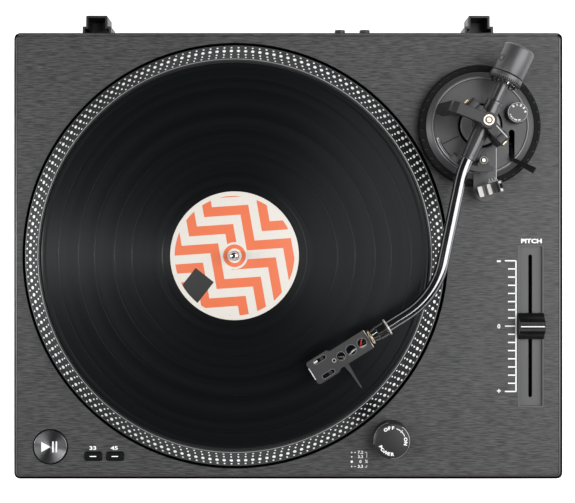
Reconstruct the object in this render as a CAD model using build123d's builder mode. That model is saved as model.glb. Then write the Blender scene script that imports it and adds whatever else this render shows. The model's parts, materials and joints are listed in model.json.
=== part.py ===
from build123d import *

# Direct-drive turntable record player with an S-shaped tonearm.
#
# Frame: millimetres. The origin is at the centre of the footprint, on the surface that the feet
# stand on. +X is the operator's right, +Y the back, +Z up. The plinth's own centre is at DECK_Y,
# because the two dust-cover hinge sockets stand out behind it.

import os
from math import cos, radians, sin

os.makedirs("parts", exist_ok=True)

# ---- plinth -------------------------------------------------------------------------------
DECK_W, DECK_D = 431.0, 350.0        # outside of the plinth
CORNER_R = 4.0
HINGE_OUT = 14.6                     # how far the hinge sockets stand out behind the plinth
DECK_Y = -HINGE_OUT / 2
FOOT_TOP = 18.0                      # underside of the plinth
TOP_Z = 74.0                         # top face of the metal panel
PANEL_T = 2.0
PANEL_INSET = 1.5                    # dark plinth edge left showing round the panel
SHELL_TOP = TOP_Z - PANEL_T
WALL = 4.5
TOP_SKIN = 3.0
COVER_T = 2.5
FOOT_X, FOOT_Y = 168.0, 130.0

# ---- platter and motor --------------------------------------------------------------------
SPINDLE = (-41.5, DECK_Y)
PLATTER_R = 165.0
WELL_R = 168.0                       # round recess in the deck that the platter sinks into
WELL_FLOOR = TOP_Z - 14.0
WELL_SKIN = 3.0
SPINDLE_R = 3.75
PIN_TOP_R = 3.55                     # the spindle's free end, above the record
RUNNING_GAP = 0.05
SEAT_Z = TOP_Z + 13.2                # platter face under the slipmat
SLIPMAT_T = 2.0
RECORD_T = 2.2
RECORD_R = 150.5
LABEL_R = 50.0
RECORD_TOP = SEAT_Z + SLIPMAT_T + RECORD_T
SPINDLE_TOP = RECORD_TOP + 12.0
SPINDLE_FOOT = 42.1                  # lower end of the spindle, inside its bearing
BAND_LOW = (164.4, TOP_Z + 4.4)      # sloping strobe band: radius and height of its lower edge
BAND_HIGH = (153.8, TOP_Z + 14.4)    # and of its upper edge

# ---- controls -----------------------------------------------------------------------------
START_AT = (-187.4, DECK_Y - 150.7)
START_R = 13.2
SPEED_Y = DECK_Y - 158.2
SPEED_X = {"speed_33_button": -153.6, "speed_45_button": -136.4}
SPEED_SIZE = (13.6, 6.8)
BUTTON_PROUD = 1.2
BUTTON_GAP = 0.4
POWER_AT = (81.0, DECK_Y - 143.8)
POWER_R = 14.5
STROBE_R = 13.2                      # the strobe housing, under the power dial
POWER_SPLIT = TOP_Z + 11.0           # where the turning dial sits on the strobe housing
POWER_TOP = TOP_Z + 19.5
FADER_AT = (191.6, DECK_Y - 55.5)
TRAY_W, TRAY_L, TRAY_DEEP = 20.0, 127.6, 2.6
SLOT_W, SLOT_L = 3.0, 112.8
FADER_TRAVEL = 50.0

# ---- tonearm ------------------------------------------------------------------------------
# Headings are degrees from +X. Heights marked "over the axis" are measured from ARM_Z.
PIVOT = (150.0, DECK_Y + 101.5)
RING_R, RING_H = 47.6, 11.0          # height-adjusting ring
BASE_R, BASE_TOP = 42.2, 13.0        # round arm base, its top above the panel
BASE_FLOOR = TOP_Z + 12.4            # the base's flat upper face, inside its raised rim
COLLAR_R = 36.0
BASE_TUBE_R = 32.7
HUB_HOLE_R, HUB_R = 17.3, 15.8
ARM_Z = TOP_Z + 38.5                 # height of the arm's axis
SLEEVE_HEADING = -115.3
MID_HEADING = -101.9
HEAD_HEADING = -147.9
SLEEVE_REACH, MID_RUN, HEAD_RUN = 40.4, 98.0, 43.8
BEND_1_R, BEND_2_R = 76.0, 62.0
TUBE_R, TUBE_WALL = 4.75, 0.75
SLEEVE_FRONT, SLEEVE_REAR = 31.0, -18.1
SLEEVE_R = 6.4
STUB_R, STUB_END = 4.1, -53.0
PITCH_HEADING = -47.4                # the arm's level hinge axis
BRIDGE_HEADING = 158.0
AXLE_R = 1.8
YOKE_HALF, YOKE_TALL, YOKE_T = 20.5, 27.0, 8.6
LIFT_R, LIFT_W, LIFT_GAP = 35.2, 4.0, 1.0    # cue lift's arc, and its gap under the tube at rest
PARK_YAW = 27.7                      # the turn from the rest pose out to the arm rest
SKATE_AT = (27.9, 9.5)
SKATE_R = 8.3
CUE_PIN = (24.5, -14.3, 5.0)         # cue lever's pin, from the pivot and the panel's top
CUE_SLOT = (-25.8, -3.2)
CUE_TILT = 46.0
HEAD_REAR, HEAD_FRONT = 16.4, 67.4   # headshell plate, along its axis from the tube's ferrule
STYLUS_X = 62.3
STYLUS_CLEAR = 0.3
WEIGHT_FRONT, WEIGHT_REAR, WEIGHT_R = -39.9, -62.3, 12.4
DIAL_FRONT, DIAL_REAR, DIAL_R = -34.1, -39.4, 12.8

PIVOT_AT_ARM = (*PIVOT, ARM_Z)


def ahead(start, heading, distance):
    """The point that lies `distance` from start along a level heading."""
    a = radians(heading)
    return (start[0] + distance * cos(a), start[1] + distance * sin(a))


def at_pivot(x, y):
    """A point given from the tonearm's pivot, in the model's frame."""
    return (PIVOT[0] + x, PIVOT[1] + y)


def lengthwise(origin, heading):
    """An upright plane through origin: local X runs along the heading, local Y is up."""
    a = radians(heading)
    return Plane(origin=origin, x_dir=(cos(a), sin(a), 0), z_dir=(sin(a), -cos(a), 0))


def across(origin, heading, distance=0.0):
    """A plane square to the heading, `distance` along it: local X is level, local Y is up."""
    a = radians(heading)
    x, y = ahead(origin, heading, distance)
    return Plane(origin=(x, y, origin[2]), x_dir=(-sin(a), cos(a), 0), z_dir=(cos(a), sin(a), 0))


def level(origin, heading, z):
    """A level plane at height z: local X runs along the heading."""
    a = radians(heading)
    return Plane(origin=(origin[0], origin[1], z), x_dir=(cos(a), sin(a), 0), z_dir=(0, 0, 1))


def upright(centre):
    """An upright plane for a profile turned about a vertical axis: local X is radius, local Y is z."""
    return Plane(origin=(*centre, 0), x_dir=(1, 0, 0), z_dir=(0, -1, 0))


def axis_of(origin, heading):
    """The level axis through origin along a heading."""
    a = radians(heading)
    return Axis(origin, (cos(a), sin(a), 0))


def turned(plane, axis, points):
    """A part turned from one closed outline about an axis."""
    with BuildPart() as made:
        with BuildSketch(plane):
            with BuildLine():
                Polyline(*points, close=True)
            make_face()
        revolve(axis=axis)
    return made


def turned_upright(centre, points):
    """A part turned about a vertical axis, from (radius, height) points."""
    return turned(upright(centre), Axis((*centre, 0), (0, 0, 1)), points)


def write(piece, name):
    """Labels a finished piece and writes its STEP file, named after its node."""
    piece.part.label = name
    export_step(piece.part, f"parts/{name}.step")


# ============================================================================== plinth
# Openings through the panel and the shell's top: (centre, outline maker)
def deck_openings():
    """The outlines cut through the deck for the controls, drawn in the active sketch."""
    with Locations(START_AT):
        Circle(START_R + 0.9)
    for x in SPEED_X.values():
        with Locations((x, SPEED_Y)):
            RectangleRounded(SPEED_SIZE[0] + 2 * BUTTON_GAP, SPEED_SIZE[1] + 2 * BUTTON_GAP, 2.1)
    with Locations(FADER_AT):
        RectangleRounded(TRAY_W, TRAY_L, 1.5)
    with Locations(PIVOT):
        Circle(COLLAR_R)


HOUSING_NECK_R = 9.0                 # strobe housing's neck through the deck
BEARING_R = 9.0                      # spindle bearing's tube through the well's floor
REAR_FACE = DECK_Y + DECK_D / 2
REAR_PANEL_AT = (60.0, 46.0)         # x and z of the signal panel's centre
REAR_PANEL = (92.0, 22.0)
INLET_AT = (-95.0, 46.0)
INLET = (24.0, 14.0)

with BuildPart() as plinth_shell:
    with BuildSketch(Plane.XY.offset(FOOT_TOP)):
        with Locations((0, DECK_Y)):
            RectangleRounded(DECK_W, DECK_D, CORNER_R)
    extrude(amount=SHELL_TOP - FOOT_TOP)
    chamfer(plinth_shell.faces().sort_by(Axis.Z)[0].outer_wire().edges(), 1.2)
    with BuildSketch(Plane.XY.offset(FOOT_TOP)):
        with Locations((0, DECK_Y)):
            RectangleRounded(DECK_W - 2 * WALL, DECK_D - 2 * WALL, CORNER_R - 2)
    extrude(amount=SHELL_TOP - TOP_SKIN - FOOT_TOP, mode=Mode.SUBTRACT)
    with BuildSketch(Plane.XY.offset(WELL_FLOOR - WELL_SKIN)):
        with Locations(SPINDLE):
            Circle(WELL_R + 3.0)
    extrude(amount=SHELL_TOP - WELL_FLOOR + WELL_SKIN)
    with BuildSketch(Plane.XY.offset(WELL_FLOOR)):
        with Locations(SPINDLE):
            Circle(WELL_R)
    extrude(amount=SHELL_TOP - WELL_FLOOR, mode=Mode.SUBTRACT)
    with BuildSketch(Plane.XY.offset(WELL_FLOOR - WELL_SKIN)):
        with Locations(SPINDLE):
            Circle(BEARING_R)
        with Locations(POWER_AT):
            Circle(HOUSING_NECK_R)
        deck_openings()
    extrude(amount=SHELL_TOP - WELL_FLOOR + WELL_SKIN, mode=Mode.SUBTRACT)
    with BuildSketch(Plane(origin=(0, REAR_FACE, 0), x_dir=(-1, 0, 0), z_dir=(0, 1, 0))):
        with Locations((-REAR_PANEL_AT[0], REAR_PANEL_AT[1])):
            RectangleRounded(REAR_PANEL[0], REAR_PANEL[1], 2)
        with Locations((-INLET_AT[0], INLET_AT[1])):
            RectangleRounded(INLET[0], INLET[1], 3)
    extrude(amount=-WALL, mode=Mode.SUBTRACT)
write(plinth_shell, "plinth_shell")

with BuildPart() as top_panel:
    with BuildSketch(Plane.XY.offset(SHELL_TOP)):
        with Locations((0, DECK_Y)):
            RectangleRounded(DECK_W - 2 * PANEL_INSET, DECK_D - 2 * PANEL_INSET, CORNER_R - PANEL_INSET)
        with Locations(SPINDLE):
            Circle(WELL_R, mode=Mode.SUBTRACT)
    extrude(amount=PANEL_T)
    chamfer(top_panel.faces().sort_by(Axis.Z)[-1].outer_wire().edges(), 0.5)
    with BuildSketch(Plane.XY.offset(SHELL_TOP)):
        with Locations(POWER_AT):
            Circle(HOUSING_NECK_R)
        deck_openings()
    extrude(amount=PANEL_T, mode=Mode.SUBTRACT)
write(top_panel, "top_panel")

COVER_SCREWS = (190.0, 152.0)        # half spacings of the cover's corner screws
with BuildPart() as bottom_cover:
    with BuildSketch(Plane.XY.offset(FOOT_TOP)):
        with Locations((0, DECK_Y)):
            RectangleRounded(DECK_W - 2 * WALL - 0.6, DECK_D - 2 * WALL - 0.6, CORNER_R - 2)
            with GridLocations(2 * COVER_SCREWS[0], 2 * COVER_SCREWS[1], 2, 2):
                Circle(1.8, mode=Mode.SUBTRACT)
            with GridLocations(12.0, 0, 9, 1):
                SlotOverall(40, 4, rotation=90, mode=Mode.SUBTRACT)
    extrude(amount=COVER_T)
write(bottom_cover, "bottom_cover")

with BuildPart() as case_screws:
    with BuildSketch(Plane.XY.offset(FOOT_TOP - 1.6)):
        with Locations((0, DECK_Y)):
            with GridLocations(2 * COVER_SCREWS[0], 2 * COVER_SCREWS[1], 2, 2):
                Circle(3.4)
                RectangleRounded(3.6, 0.9, 0.2, mode=Mode.SUBTRACT)
                RectangleRounded(0.9, 3.6, 0.2, mode=Mode.SUBTRACT)
    extrude(amount=1.2)
    with BuildSketch(Plane.XY.offset(FOOT_TOP - 0.4)):
        with Locations((0, DECK_Y)):
            with GridLocations(2 * COVER_SCREWS[0], 2 * COVER_SCREWS[1], 2, 2):
                Circle(3.4)
    extrude(amount=0.4)
    with BuildSketch(Plane.XY.offset(FOOT_TOP)):
        with Locations((0, DECK_Y)):
            with GridLocations(2 * COVER_SCREWS[0], 2 * COVER_SCREWS[1], 2, 2):
                Circle(1.7)
    extrude(amount=9.0)
write(case_screws, "case_screws")

FOOT_R, PAD_R, PAD_T = 25.0, 21.0, 3.0
FEET = {
    "foot_front_left": (-FOOT_X, DECK_Y - FOOT_Y),
    "foot_front_right": (FOOT_X, DECK_Y - FOOT_Y),
    "foot_rear_left": (-FOOT_X, DECK_Y + FOOT_Y),
    "foot_rear_right": (FOOT_X, DECK_Y + FOOT_Y),
}
for foot_name, foot_at in FEET.items():
    foot = turned_upright(foot_at, [
        (0, PAD_T), (PAD_R, PAD_T), (FOOT_R - 1.5, PAD_T + 1.0), (FOOT_R, PAD_T + 3.0),
        (FOOT_R, 11.0), (FOOT_R - 5.0, FOOT_TOP - 2.0), (FOOT_R - 5.0, FOOT_TOP), (0, FOOT_TOP),
    ])
    write(foot, foot_name)

with BuildPart() as foot_pads:
    for foot_at in FEET.values():
        with BuildSketch():
            with Locations(foot_at):
                Circle(PAD_R)
                Circle(7.0, mode=Mode.SUBTRACT)
        extrude(amount=PAD_T)
    chamfer(foot_pads.faces().filter_by(Axis.Z).group_by(Axis.Z)[0].edges(), 0.6)
write(foot_pads, "foot_pads")

# ---- dust-cover hinge sockets: open-topped, stepped boxes on the back wall -----------------------
SOCKET_X = 150.9
SOCKET_TOP, SOCKET_LOW = TOP_Z - 1.0, TOP_Z - 28.0
SOCKET_WIDE, SOCKET_STEP, SOCKET_NARROW, SOCKET_WALL = 22.4, 6.0, 17.0, 1.7


def hinge_socket(x):
    """One hinge socket, with its pocket open at the top and its back plate on the plinth."""
    with BuildPart() as socket:
        with BuildSketch(Plane.XY.offset(SOCKET_LOW)):
            with Locations((x, REAR_FACE + HINGE_OUT / 2)):
                Rectangle(SOCKET_NARROW, HINGE_OUT)
            with Locations((x, REAR_FACE + SOCKET_STEP / 2)):
                Rectangle(SOCKET_WIDE, SOCKET_STEP)
        extrude(amount=SOCKET_TOP - SOCKET_LOW)
        fillet(socket.edges().filter_by(Axis.Z).group_by(Axis.Y)[-1], 1.2)
        with BuildSketch(Plane.XY.offset(SOCKET_LOW + 2.0)):
            with Locations((x, REAR_FACE + (HINGE_OUT - SOCKET_WALL + 1.0) / 2)):
                Rectangle(SOCKET_NARROW - 2 * SOCKET_WALL, HINGE_OUT - SOCKET_WALL - 1.0)
            with Locations((x, REAR_FACE + (SOCKET_STEP - SOCKET_WALL + 1.0) / 2)):
                Rectangle(SOCKET_WIDE - 2 * SOCKET_WALL, SOCKET_STEP - SOCKET_WALL - 1.0)
        extrude(amount=SOCKET_TOP - SOCKET_LOW, mode=Mode.SUBTRACT)
    return socket


write(hinge_socket(-SOCKET_X), "hinge_socket_left")
write(hinge_socket(SOCKET_X), "hinge_socket_right")

# ---- rear connectors ---------------------------------------------------------------------
REAR_PLANE = Plane(origin=(0, REAR_FACE, 0), x_dir=(-1, 0, 0), z_dir=(0, 1, 0))
PHONO_X = (42.0, 62.0)
PHONO_R, PHONO_LEN, PHONO_NECK_R = 4.15, 8.5, 3.8
GROUND_X = 86.0
SOCKET_DEEP = 2.5                    # the signal panel lies this far inside the back wall

with BuildPart() as rear_panel:
    with BuildSketch(REAR_PLANE.offset(-SOCKET_DEEP)):
        with Locations((-REAR_PANEL_AT[0], REAR_PANEL_AT[1])):
            RectangleRounded(REAR_PANEL[0] - 0.4, REAR_PANEL[1] - 0.4, 2)
        for x in PHONO_X:
            with Locations((-x, REAR_PANEL_AT[1])):
                Circle(PHONO_NECK_R, mode=Mode.SUBTRACT)
        with Locations((-GROUND_X, REAR_PANEL_AT[1])):
            Circle(2.0, mode=Mode.SUBTRACT)
    extrude(amount=-1.5)
write(rear_panel, "rear_panel")

with BuildPart() as signal_sockets:
    for x in PHONO_X:
        with BuildSketch(REAR_PLANE.offset(-SOCKET_DEEP - 8.0)):
            with Locations((-x, REAR_PANEL_AT[1])):
                Circle(PHONO_NECK_R)
        extrude(amount=8.0)
        with BuildSketch(REAR_PLANE.offset(-SOCKET_DEEP)):
            with Locations((-x, REAR_PANEL_AT[1])):
                Circle(6.0)
        extrude(amount=1.0)
        with BuildSketch(REAR_PLANE.offset(1.0 - SOCKET_DEEP)):
            with Locations((-x, REAR_PANEL_AT[1])):
                Circle(PHONO_R)
        extrude(amount=PHONO_LEN)
        with BuildSketch(REAR_PLANE.offset(-SOCKET_DEEP - 4.0)):
            with Locations((-x, REAR_PANEL_AT[1])):
                Circle(1.65)
        extrude(amount=5.0 + PHONO_LEN, mode=Mode.SUBTRACT)
write(signal_sockets, "signal_sockets")

with BuildPart() as ground_terminal:
    with BuildSketch(REAR_PLANE.offset(-SOCKET_DEEP - 6.0)):
        with Locations((-GROUND_X, REAR_PANEL_AT[1])):
            Circle(2.0)
    extrude(amount=10.0)
    with BuildSketch(REAR_PLANE.offset(-SOCKET_DEEP + 0.8)):
        with Locations((-GROUND_X, REAR_PANEL_AT[1])):
            RegularPolygon(5.0, 16)
    extrude(amount=6.0)
write(ground_terminal, "ground_terminal")

with BuildPart() as power_inlet:
    with BuildSketch(REAR_PLANE):
        with Locations((-INLET_AT[0], INLET_AT[1])):
            RectangleRounded(INLET[0] - 0.4, INLET[1] - 0.4, 3)
    extrude(amount=-18.0)
    with BuildSketch(REAR_PLANE):
        with Locations((-INLET_AT[0], INLET_AT[1])):
            RectangleRounded(INLET[0] + 5, INLET[1] + 5, 3)
    extrude(amount=1.4)
    with BuildSketch(REAR_PLANE.offset(1.4)):
        with Locations((-INLET_AT[0], INLET_AT[1])):
            SlotCenterToCenter(8.0, 9.0)
    extrude(amount=-15.0, mode=Mode.SUBTRACT)
    with BuildSketch(REAR_PLANE.offset(-13.6)):
        with Locations((-INLET_AT[0] - 4.3, INLET_AT[1]), (-INLET_AT[0] + 4.3, INLET_AT[1])):
            Circle(1.2)
    extrude(amount=11.0)
write(power_inlet, "power_inlet")

# ---- boards inside the plinth --------------------------------------------------------------
BOARD_Z = FOOT_TOP + COVER_T + 5.0
BOARD_AT = (40.0, DECK_Y + 105.0)
with BuildPart() as main_board:
    with BuildSketch(Plane.XY.offset(BOARD_Z)):
        with Locations(BOARD_AT):
            Rectangle(130, 90)
    extrude(amount=1.6)
    with BuildSketch(Plane.XY.offset(BOARD_Z - 5.0)):
        with Locations(BOARD_AT):
            with GridLocations(118, 78, 2, 2):
                Circle(3.0)
    extrude(amount=5.0)
    with BuildSketch(Plane.XY.offset(BOARD_Z + 1.6)):
        with Locations((BOARD_AT[0] - 10, BOARD_AT[1] - 8)):
            Rectangle(18, 18)
        with Locations((BOARD_AT[0] + 25, BOARD_AT[1] + 5)):
            Rectangle(12, 8)
        with Locations((BOARD_AT[0] - 45, BOARD_AT[1] + 28)):
            Rectangle(22, 6)
    extrude(amount=3.0)
    with BuildSketch(Plane.XY.offset(BOARD_Z + 1.6)):
        with Locations((BOARD_AT[0] + 45, BOARD_AT[1] - 25)):
            with GridLocations(14, 14, 2, 2):
                Circle(5.0)
    extrude(amount=14.0)
write(main_board, "main_board")

TRANSFORMER_AT = (-120.0, DECK_Y + 118.0)
with BuildPart() as power_transformer:
    with BuildSketch(Plane.XY.offset(FOOT_TOP + COVER_T)):
        with Locations(TRANSFORMER_AT):
            Rectangle(66, 40)
    extrude(amount=2.0)
    with BuildSketch(Plane.XY.offset(FOOT_TOP + COVER_T + 2.0)):
        with Locations(TRANSFORMER_AT):
            Rectangle(48, 40)
    extrude(amount=28.0)
    with BuildSketch(Plane.XY.offset(FOOT_TOP + COVER_T + 7.0)):
        with Locations(TRANSFORMER_AT):
            Rectangle(34, 54)
    extrude(amount=18.0)
write(power_transformer, "power_transformer")

# ============================================================================== motor and platter
bearing_housing = turned_upright(SPINDLE, [
    (0, 38.0), (BEARING_R, 38.0), (BEARING_R, WELL_FLOOR), (20.0, WELL_FLOOR),
    (20.0, WELL_FLOOR + 2.5), (BEARING_R, WELL_FLOOR + 2.5), (BEARING_R, 70.0), (6.0, 70.0),
    (6.0, SPINDLE_FOOT - 0.1), (0, SPINDLE_FOOT - 0.1),
])
write(bearing_housing, "bearing_housing")

bearing_bush = turned_upright(SPINDLE, [
    (SPINDLE_R + RUNNING_GAP, SPINDLE_FOOT + 1.0), (6.0, SPINDLE_FOOT + 1.0), (6.0, 69.5),
    (SPINDLE_R + RUNNING_GAP, 69.5),
])
write(bearing_bush, "bearing_bush")

MAGNET_IN, MAGNET_OUT = 52.0, 64.0
with BuildPart() as motor_board:
    with BuildSketch(Plane.XY.offset(WELL_FLOOR)):
        with Locations(SPINDLE):
            Circle(72.0)
            Circle(20.3, mode=Mode.SUBTRACT)
    extrude(amount=1.6)
write(motor_board, "motor_board")

POLES = 12
with BuildPart() as stator:
    with BuildSketch(Plane.XY.offset(WELL_FLOOR + 1.6)):
        with Locations(SPINDLE):
            Circle(29.0)
            Circle(22.0, mode=Mode.SUBTRACT)
    extrude(amount=9.0)
    with BuildSketch(Plane.XY.offset(WELL_FLOOR + 3.6)):
        with Locations(SPINDLE):
            with PolarLocations(38.8, POLES):
                Rectangle(22.0, 5.0)
    extrude(amount=5.0)
    with BuildSketch(Plane.XY.offset(WELL_FLOOR + 2.4)):
        with Locations(SPINDLE):
            with PolarLocations(39.0, POLES):
                RectangleRounded(13.0, 10.0, 2.0)
    extrude(amount=7.4)
write(stator, "stator")

with BuildPart() as platter:
    with BuildSketch(upright(SPINDLE)):
        with BuildLine():
            Polyline(
                (SPINDLE_R, SEAT_Z), (151.6, SEAT_Z), (151.6, TOP_Z + 14.9),
                (153.3, TOP_Z + 14.9), BAND_HIGH, BAND_LOW, (PLATTER_R, TOP_Z + 3.6),
                (PLATTER_R, TOP_Z - 7.0), (160.0, TOP_Z - 7.0), (160.0, TOP_Z + 3.0),
                (150.0, TOP_Z + 9.2), (14.0, TOP_Z + 9.2), (14.0, TOP_Z - 1.0),
                (SPINDLE_R, TOP_Z - 1.0), close=True,
            )
        make_face()
    revolve(axis=Axis((*SPINDLE, 0), (0, 0, 1)))
    with BuildSketch(Plane.XY.offset(TOP_Z + 5.5)):
        with Locations(SPINDLE):
            with PolarLocations(107.0, POLES):
                Rectangle(82.0, 2.0)
    extrude(amount=4.0)
write(platter, "platter")

rotor_magnet = turned_upright(SPINDLE, [
    (MAGNET_IN, TOP_Z - 9.0), (MAGNET_OUT, TOP_Z - 9.0),
    (MAGNET_OUT, TOP_Z + 9.2), (MAGNET_IN, TOP_Z + 9.2),
])
write(rotor_magnet, "rotor_magnet")

with BuildPart() as spindle:
    with BuildSketch(Plane.XY.offset(SPINDLE_FOOT)):
        with Locations(SPINDLE):
            Circle(SPINDLE_R)
    extrude(amount=RECORD_TOP - SPINDLE_FOOT)
    with BuildSketch(Plane.XY.offset(RECORD_TOP)):
        with Locations(SPINDLE):
            Circle(PIN_TOP_R)
    extrude(amount=SPINDLE_TOP - RECORD_TOP)
    fillet(spindle.faces().sort_by(Axis.Z)[-1].edges(), 2.6)
write(spindle, "spindle")

slipmat = turned_upright(SPINDLE, [
    (SPINDLE_R + 0.1, SEAT_Z), (147.5, SEAT_Z), (147.5, SEAT_Z + SLIPMAT_T),
    (SPINDLE_R + 0.1, SEAT_Z + SLIPMAT_T),
])
write(slipmat, "slipmat")

GROOVE_DROP = 0.3                    # the played area lies this far below the edge and the label
RECORD_Z = SEAT_Z + SLIPMAT_T
LABEL_T = 0.15
record = turned_upright(SPINDLE, [
    (SPINDLE_R + 0.08, RECORD_Z), (RECORD_R - 0.8, RECORD_Z), (RECORD_R, RECORD_Z + 0.8),
    (RECORD_R, RECORD_TOP - 0.8), (RECORD_R - 0.8, RECORD_TOP),
    (RECORD_R - 4.0, RECORD_TOP - GROOVE_DROP), (LABEL_R + 6.0, RECORD_TOP - GROOVE_DROP),
    (LABEL_R + 0.6, RECORD_TOP - 0.05), (LABEL_R + 0.1, RECORD_TOP - LABEL_T),
    (SPINDLE_R + 0.08, RECORD_TOP - LABEL_T),
])
write(record, "record")

record_label = turned_upright(SPINDLE, [
    (SPINDLE_R + 0.3, RECORD_TOP - LABEL_T), (LABEL_R, RECORD_TOP - LABEL_T),
    (LABEL_R, RECORD_TOP), (SPINDLE_R + 0.3, RECORD_TOP),
])
write(record_label, "record_label")

# ============================================================================== controls
with BuildPart() as start_stop_button:
    with BuildSketch(Plane.XY.offset(SHELL_TOP - 1.0)):
        with Locations(START_AT):
            Circle(START_R)
    extrude(amount=PANEL_T + 1.0 + BUTTON_PROUD)
    chamfer(start_stop_button.faces().sort_by(Axis.Z)[-1].edges(), 0.6)
    with BuildSketch(Plane.XY.offset(SHELL_TOP - 8.0)):
        with Locations(START_AT):
            Circle(4.0)
    extrude(amount=7.0)
write(start_stop_button, "start_stop_button")

for button_name, button_x in SPEED_X.items():
    with BuildPart() as speed_button:
        with BuildSketch(Plane.XY.offset(SHELL_TOP - 1.0)):
            with Locations((button_x, SPEED_Y)):
                RectangleRounded(*SPEED_SIZE, 1.7)
        extrude(amount=PANEL_T + 1.0 + BUTTON_PROUD)
        fillet(speed_button.faces().sort_by(Axis.Z)[-1].edges(), 0.5)
        with BuildSketch(Plane.XY.offset(SHELL_TOP - 8.0)):
            with Locations((button_x, SPEED_Y)):
                Rectangle(5.0, 3.0)
        extrude(amount=7.0)
    write(speed_button, button_name)

STROBE_HEADING = 130.0               # from the power dial towards the platter's rim
with BuildPart() as strobe_housing:
    with BuildSketch(Plane.XY.offset(TOP_Z)):
        with Locations(POWER_AT):
            Circle(STROBE_R)
    extrude(amount=POWER_SPLIT - TOP_Z)
    with BuildSketch(Plane.XY.offset(SHELL_TOP - 12.0)):
        with Locations(POWER_AT):
            Circle(HOUSING_NECK_R - 0.1)
    extrude(amount=TOP_Z - SHELL_TOP + 12.0)
    with BuildSketch(level(POWER_AT, STROBE_HEADING, TOP_Z + 2.0)):
        with Locations((STROBE_R - 0.7, 0)):
            Rectangle(6.0, 12.0)
    extrude(amount=6.0, mode=Mode.SUBTRACT)
    with BuildSketch(Plane.XY.offset(SHELL_TOP - 12.0)):
        with Locations(POWER_AT):
            Circle(2.55)
    extrude(amount=POWER_SPLIT - SHELL_TOP + 12.0, mode=Mode.SUBTRACT)
write(strobe_housing, "strobe_housing")

with BuildPart() as strobe_window:
    with BuildSketch(level(POWER_AT, STROBE_HEADING, TOP_Z + 2.0)):
        with Locations((STROBE_R - 2.8, 0)):
            Rectangle(1.8, 12.0)
    extrude(amount=6.0)
write(strobe_window, "strobe_window")

with BuildPart() as power_dial:
    with BuildSketch(Plane.XY.offset(POWER_SPLIT + 0.4)):
        with Locations(POWER_AT):
            Circle(POWER_R)
    extrude(amount=POWER_TOP - POWER_SPLIT - 0.4)
    chamfer(power_dial.faces().sort_by(Axis.Z)[-1].edges(), 0.9)
    with BuildSketch(Plane.XY.offset(SHELL_TOP - 10.0)):
        with Locations(POWER_AT):
            Circle(2.5)
    extrude(amount=POWER_SPLIT + 0.4 - SHELL_TOP + 10.0)
write(power_dial, "power_dial")

with BuildPart() as fader_tray:
    with BuildSketch(Plane.XY.offset(TOP_Z - TRAY_DEEP - 1.8)):
        with Locations(FADER_AT):
            RectangleRounded(TRAY_W, TRAY_L, 1.5)
    extrude(amount=TRAY_DEEP + 1.8)
    with BuildSketch(Plane.XY.offset(TOP_Z - TRAY_DEEP)):
        with Locations(FADER_AT):
            RectangleRounded(TRAY_W - 1.6, TRAY_L - 1.6, 1.0)
    extrude(amount=TRAY_DEEP, mode=Mode.SUBTRACT)
    with BuildSketch(Plane.XY.offset(TOP_Z - TRAY_DEEP - 1.8)):
        with Locations(FADER_AT):
            SlotOverall(SLOT_L, SLOT_W, rotation=90)
    extrude(amount=1.8, mode=Mode.SUBTRACT)
write(fader_tray, "fader_tray")

POT_TOP = TOP_Z - TRAY_DEEP - 1.8
with BuildPart() as fader_potentiometer:
    with BuildSketch(Plane.XY.offset(POT_TOP - 11.0)):
        with Locations(FADER_AT):
            Rectangle(13.0, 124.0)
    extrude(amount=11.0)
    with BuildSketch(Plane.XY.offset(POT_TOP - 9.0)):
        with Locations(FADER_AT):
            Rectangle(7.0, 116.0)
    extrude(amount=9.0, mode=Mode.SUBTRACT)
write(fader_potentiometer, "fader_potentiometer")

KNOB_LOW, KNOB_TALL, KNOB_W, KNOB_L = TOP_Z + 0.5, 9.4, 20.4, 20.6
with BuildPart() as pitch_fader_knob:
    with BuildSketch(Plane(origin=(*FADER_AT, KNOB_LOW), x_dir=(0, 1, 0), z_dir=(1, 0, 0))):
        with BuildLine():
            Line((-KNOB_L / 2, 0), (KNOB_L / 2, 0))
            Line((KNOB_L / 2, 0), (KNOB_L / 2, 1.5))
            ThreePointArc((KNOB_L / 2, 1.5), (5.4, 5.2), (3.6, KNOB_TALL))
            Line((3.6, KNOB_TALL), (-3.6, KNOB_TALL))
            ThreePointArc((-3.6, KNOB_TALL), (-5.4, 5.2), (-KNOB_L / 2, 1.5))
            Line((-KNOB_L / 2, 1.5), (-KNOB_L / 2, 0))
        make_face()
    extrude(amount=KNOB_W / 2, both=True)
    with BuildSketch(Plane.XY.offset(TOP_Z - 11.0)):
        with Locations(FADER_AT):
            Rectangle(2.4, 8.0)
    extrude(amount=KNOB_LOW - TOP_Z + 11.0)
write(pitch_fader_knob, "pitch_fader_knob")

# ============================================================================== tonearm base
arm_mount_collar = turned_upright(PIVOT, [
    (BASE_TUBE_R + 0.3, TOP_Z - 24.0), (COLLAR_R, TOP_Z - 24.0), (COLLAR_R, TOP_Z + 5.0),
    (BASE_TUBE_R + 0.3, TOP_Z + 5.0),
])
write(arm_mount_collar, "arm_mount_collar")

NOTCHES = 30
with BuildPart() as height_ring:
    with BuildSketch(upright(PIVOT)):
        with BuildLine():
            Polyline(
                (COLLAR_R + 0.5, TOP_Z + 0.3), (RING_R, TOP_Z + 0.3), (RING_R, TOP_Z + RING_H - 1.0),
                (RING_R - 1.0, TOP_Z + RING_H), (BASE_R + 0.4, TOP_Z + RING_H),
                (BASE_R + 0.4, TOP_Z + 7.6), (COLLAR_R + 0.5, TOP_Z + 7.6), close=True,
            )
        make_face()
    revolve(axis=Axis((*PIVOT, 0), (0, 0, 1)))
    for i in range(NOTCHES):
        with BuildSketch(across((*PIVOT, TOP_Z + 5.8), i * 360 / NOTCHES, RING_R - 1.2)):
            Circle(1.7)
        extrude(amount=3.0, mode=Mode.SUBTRACT)
write(height_ring, "height_ring")

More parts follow.
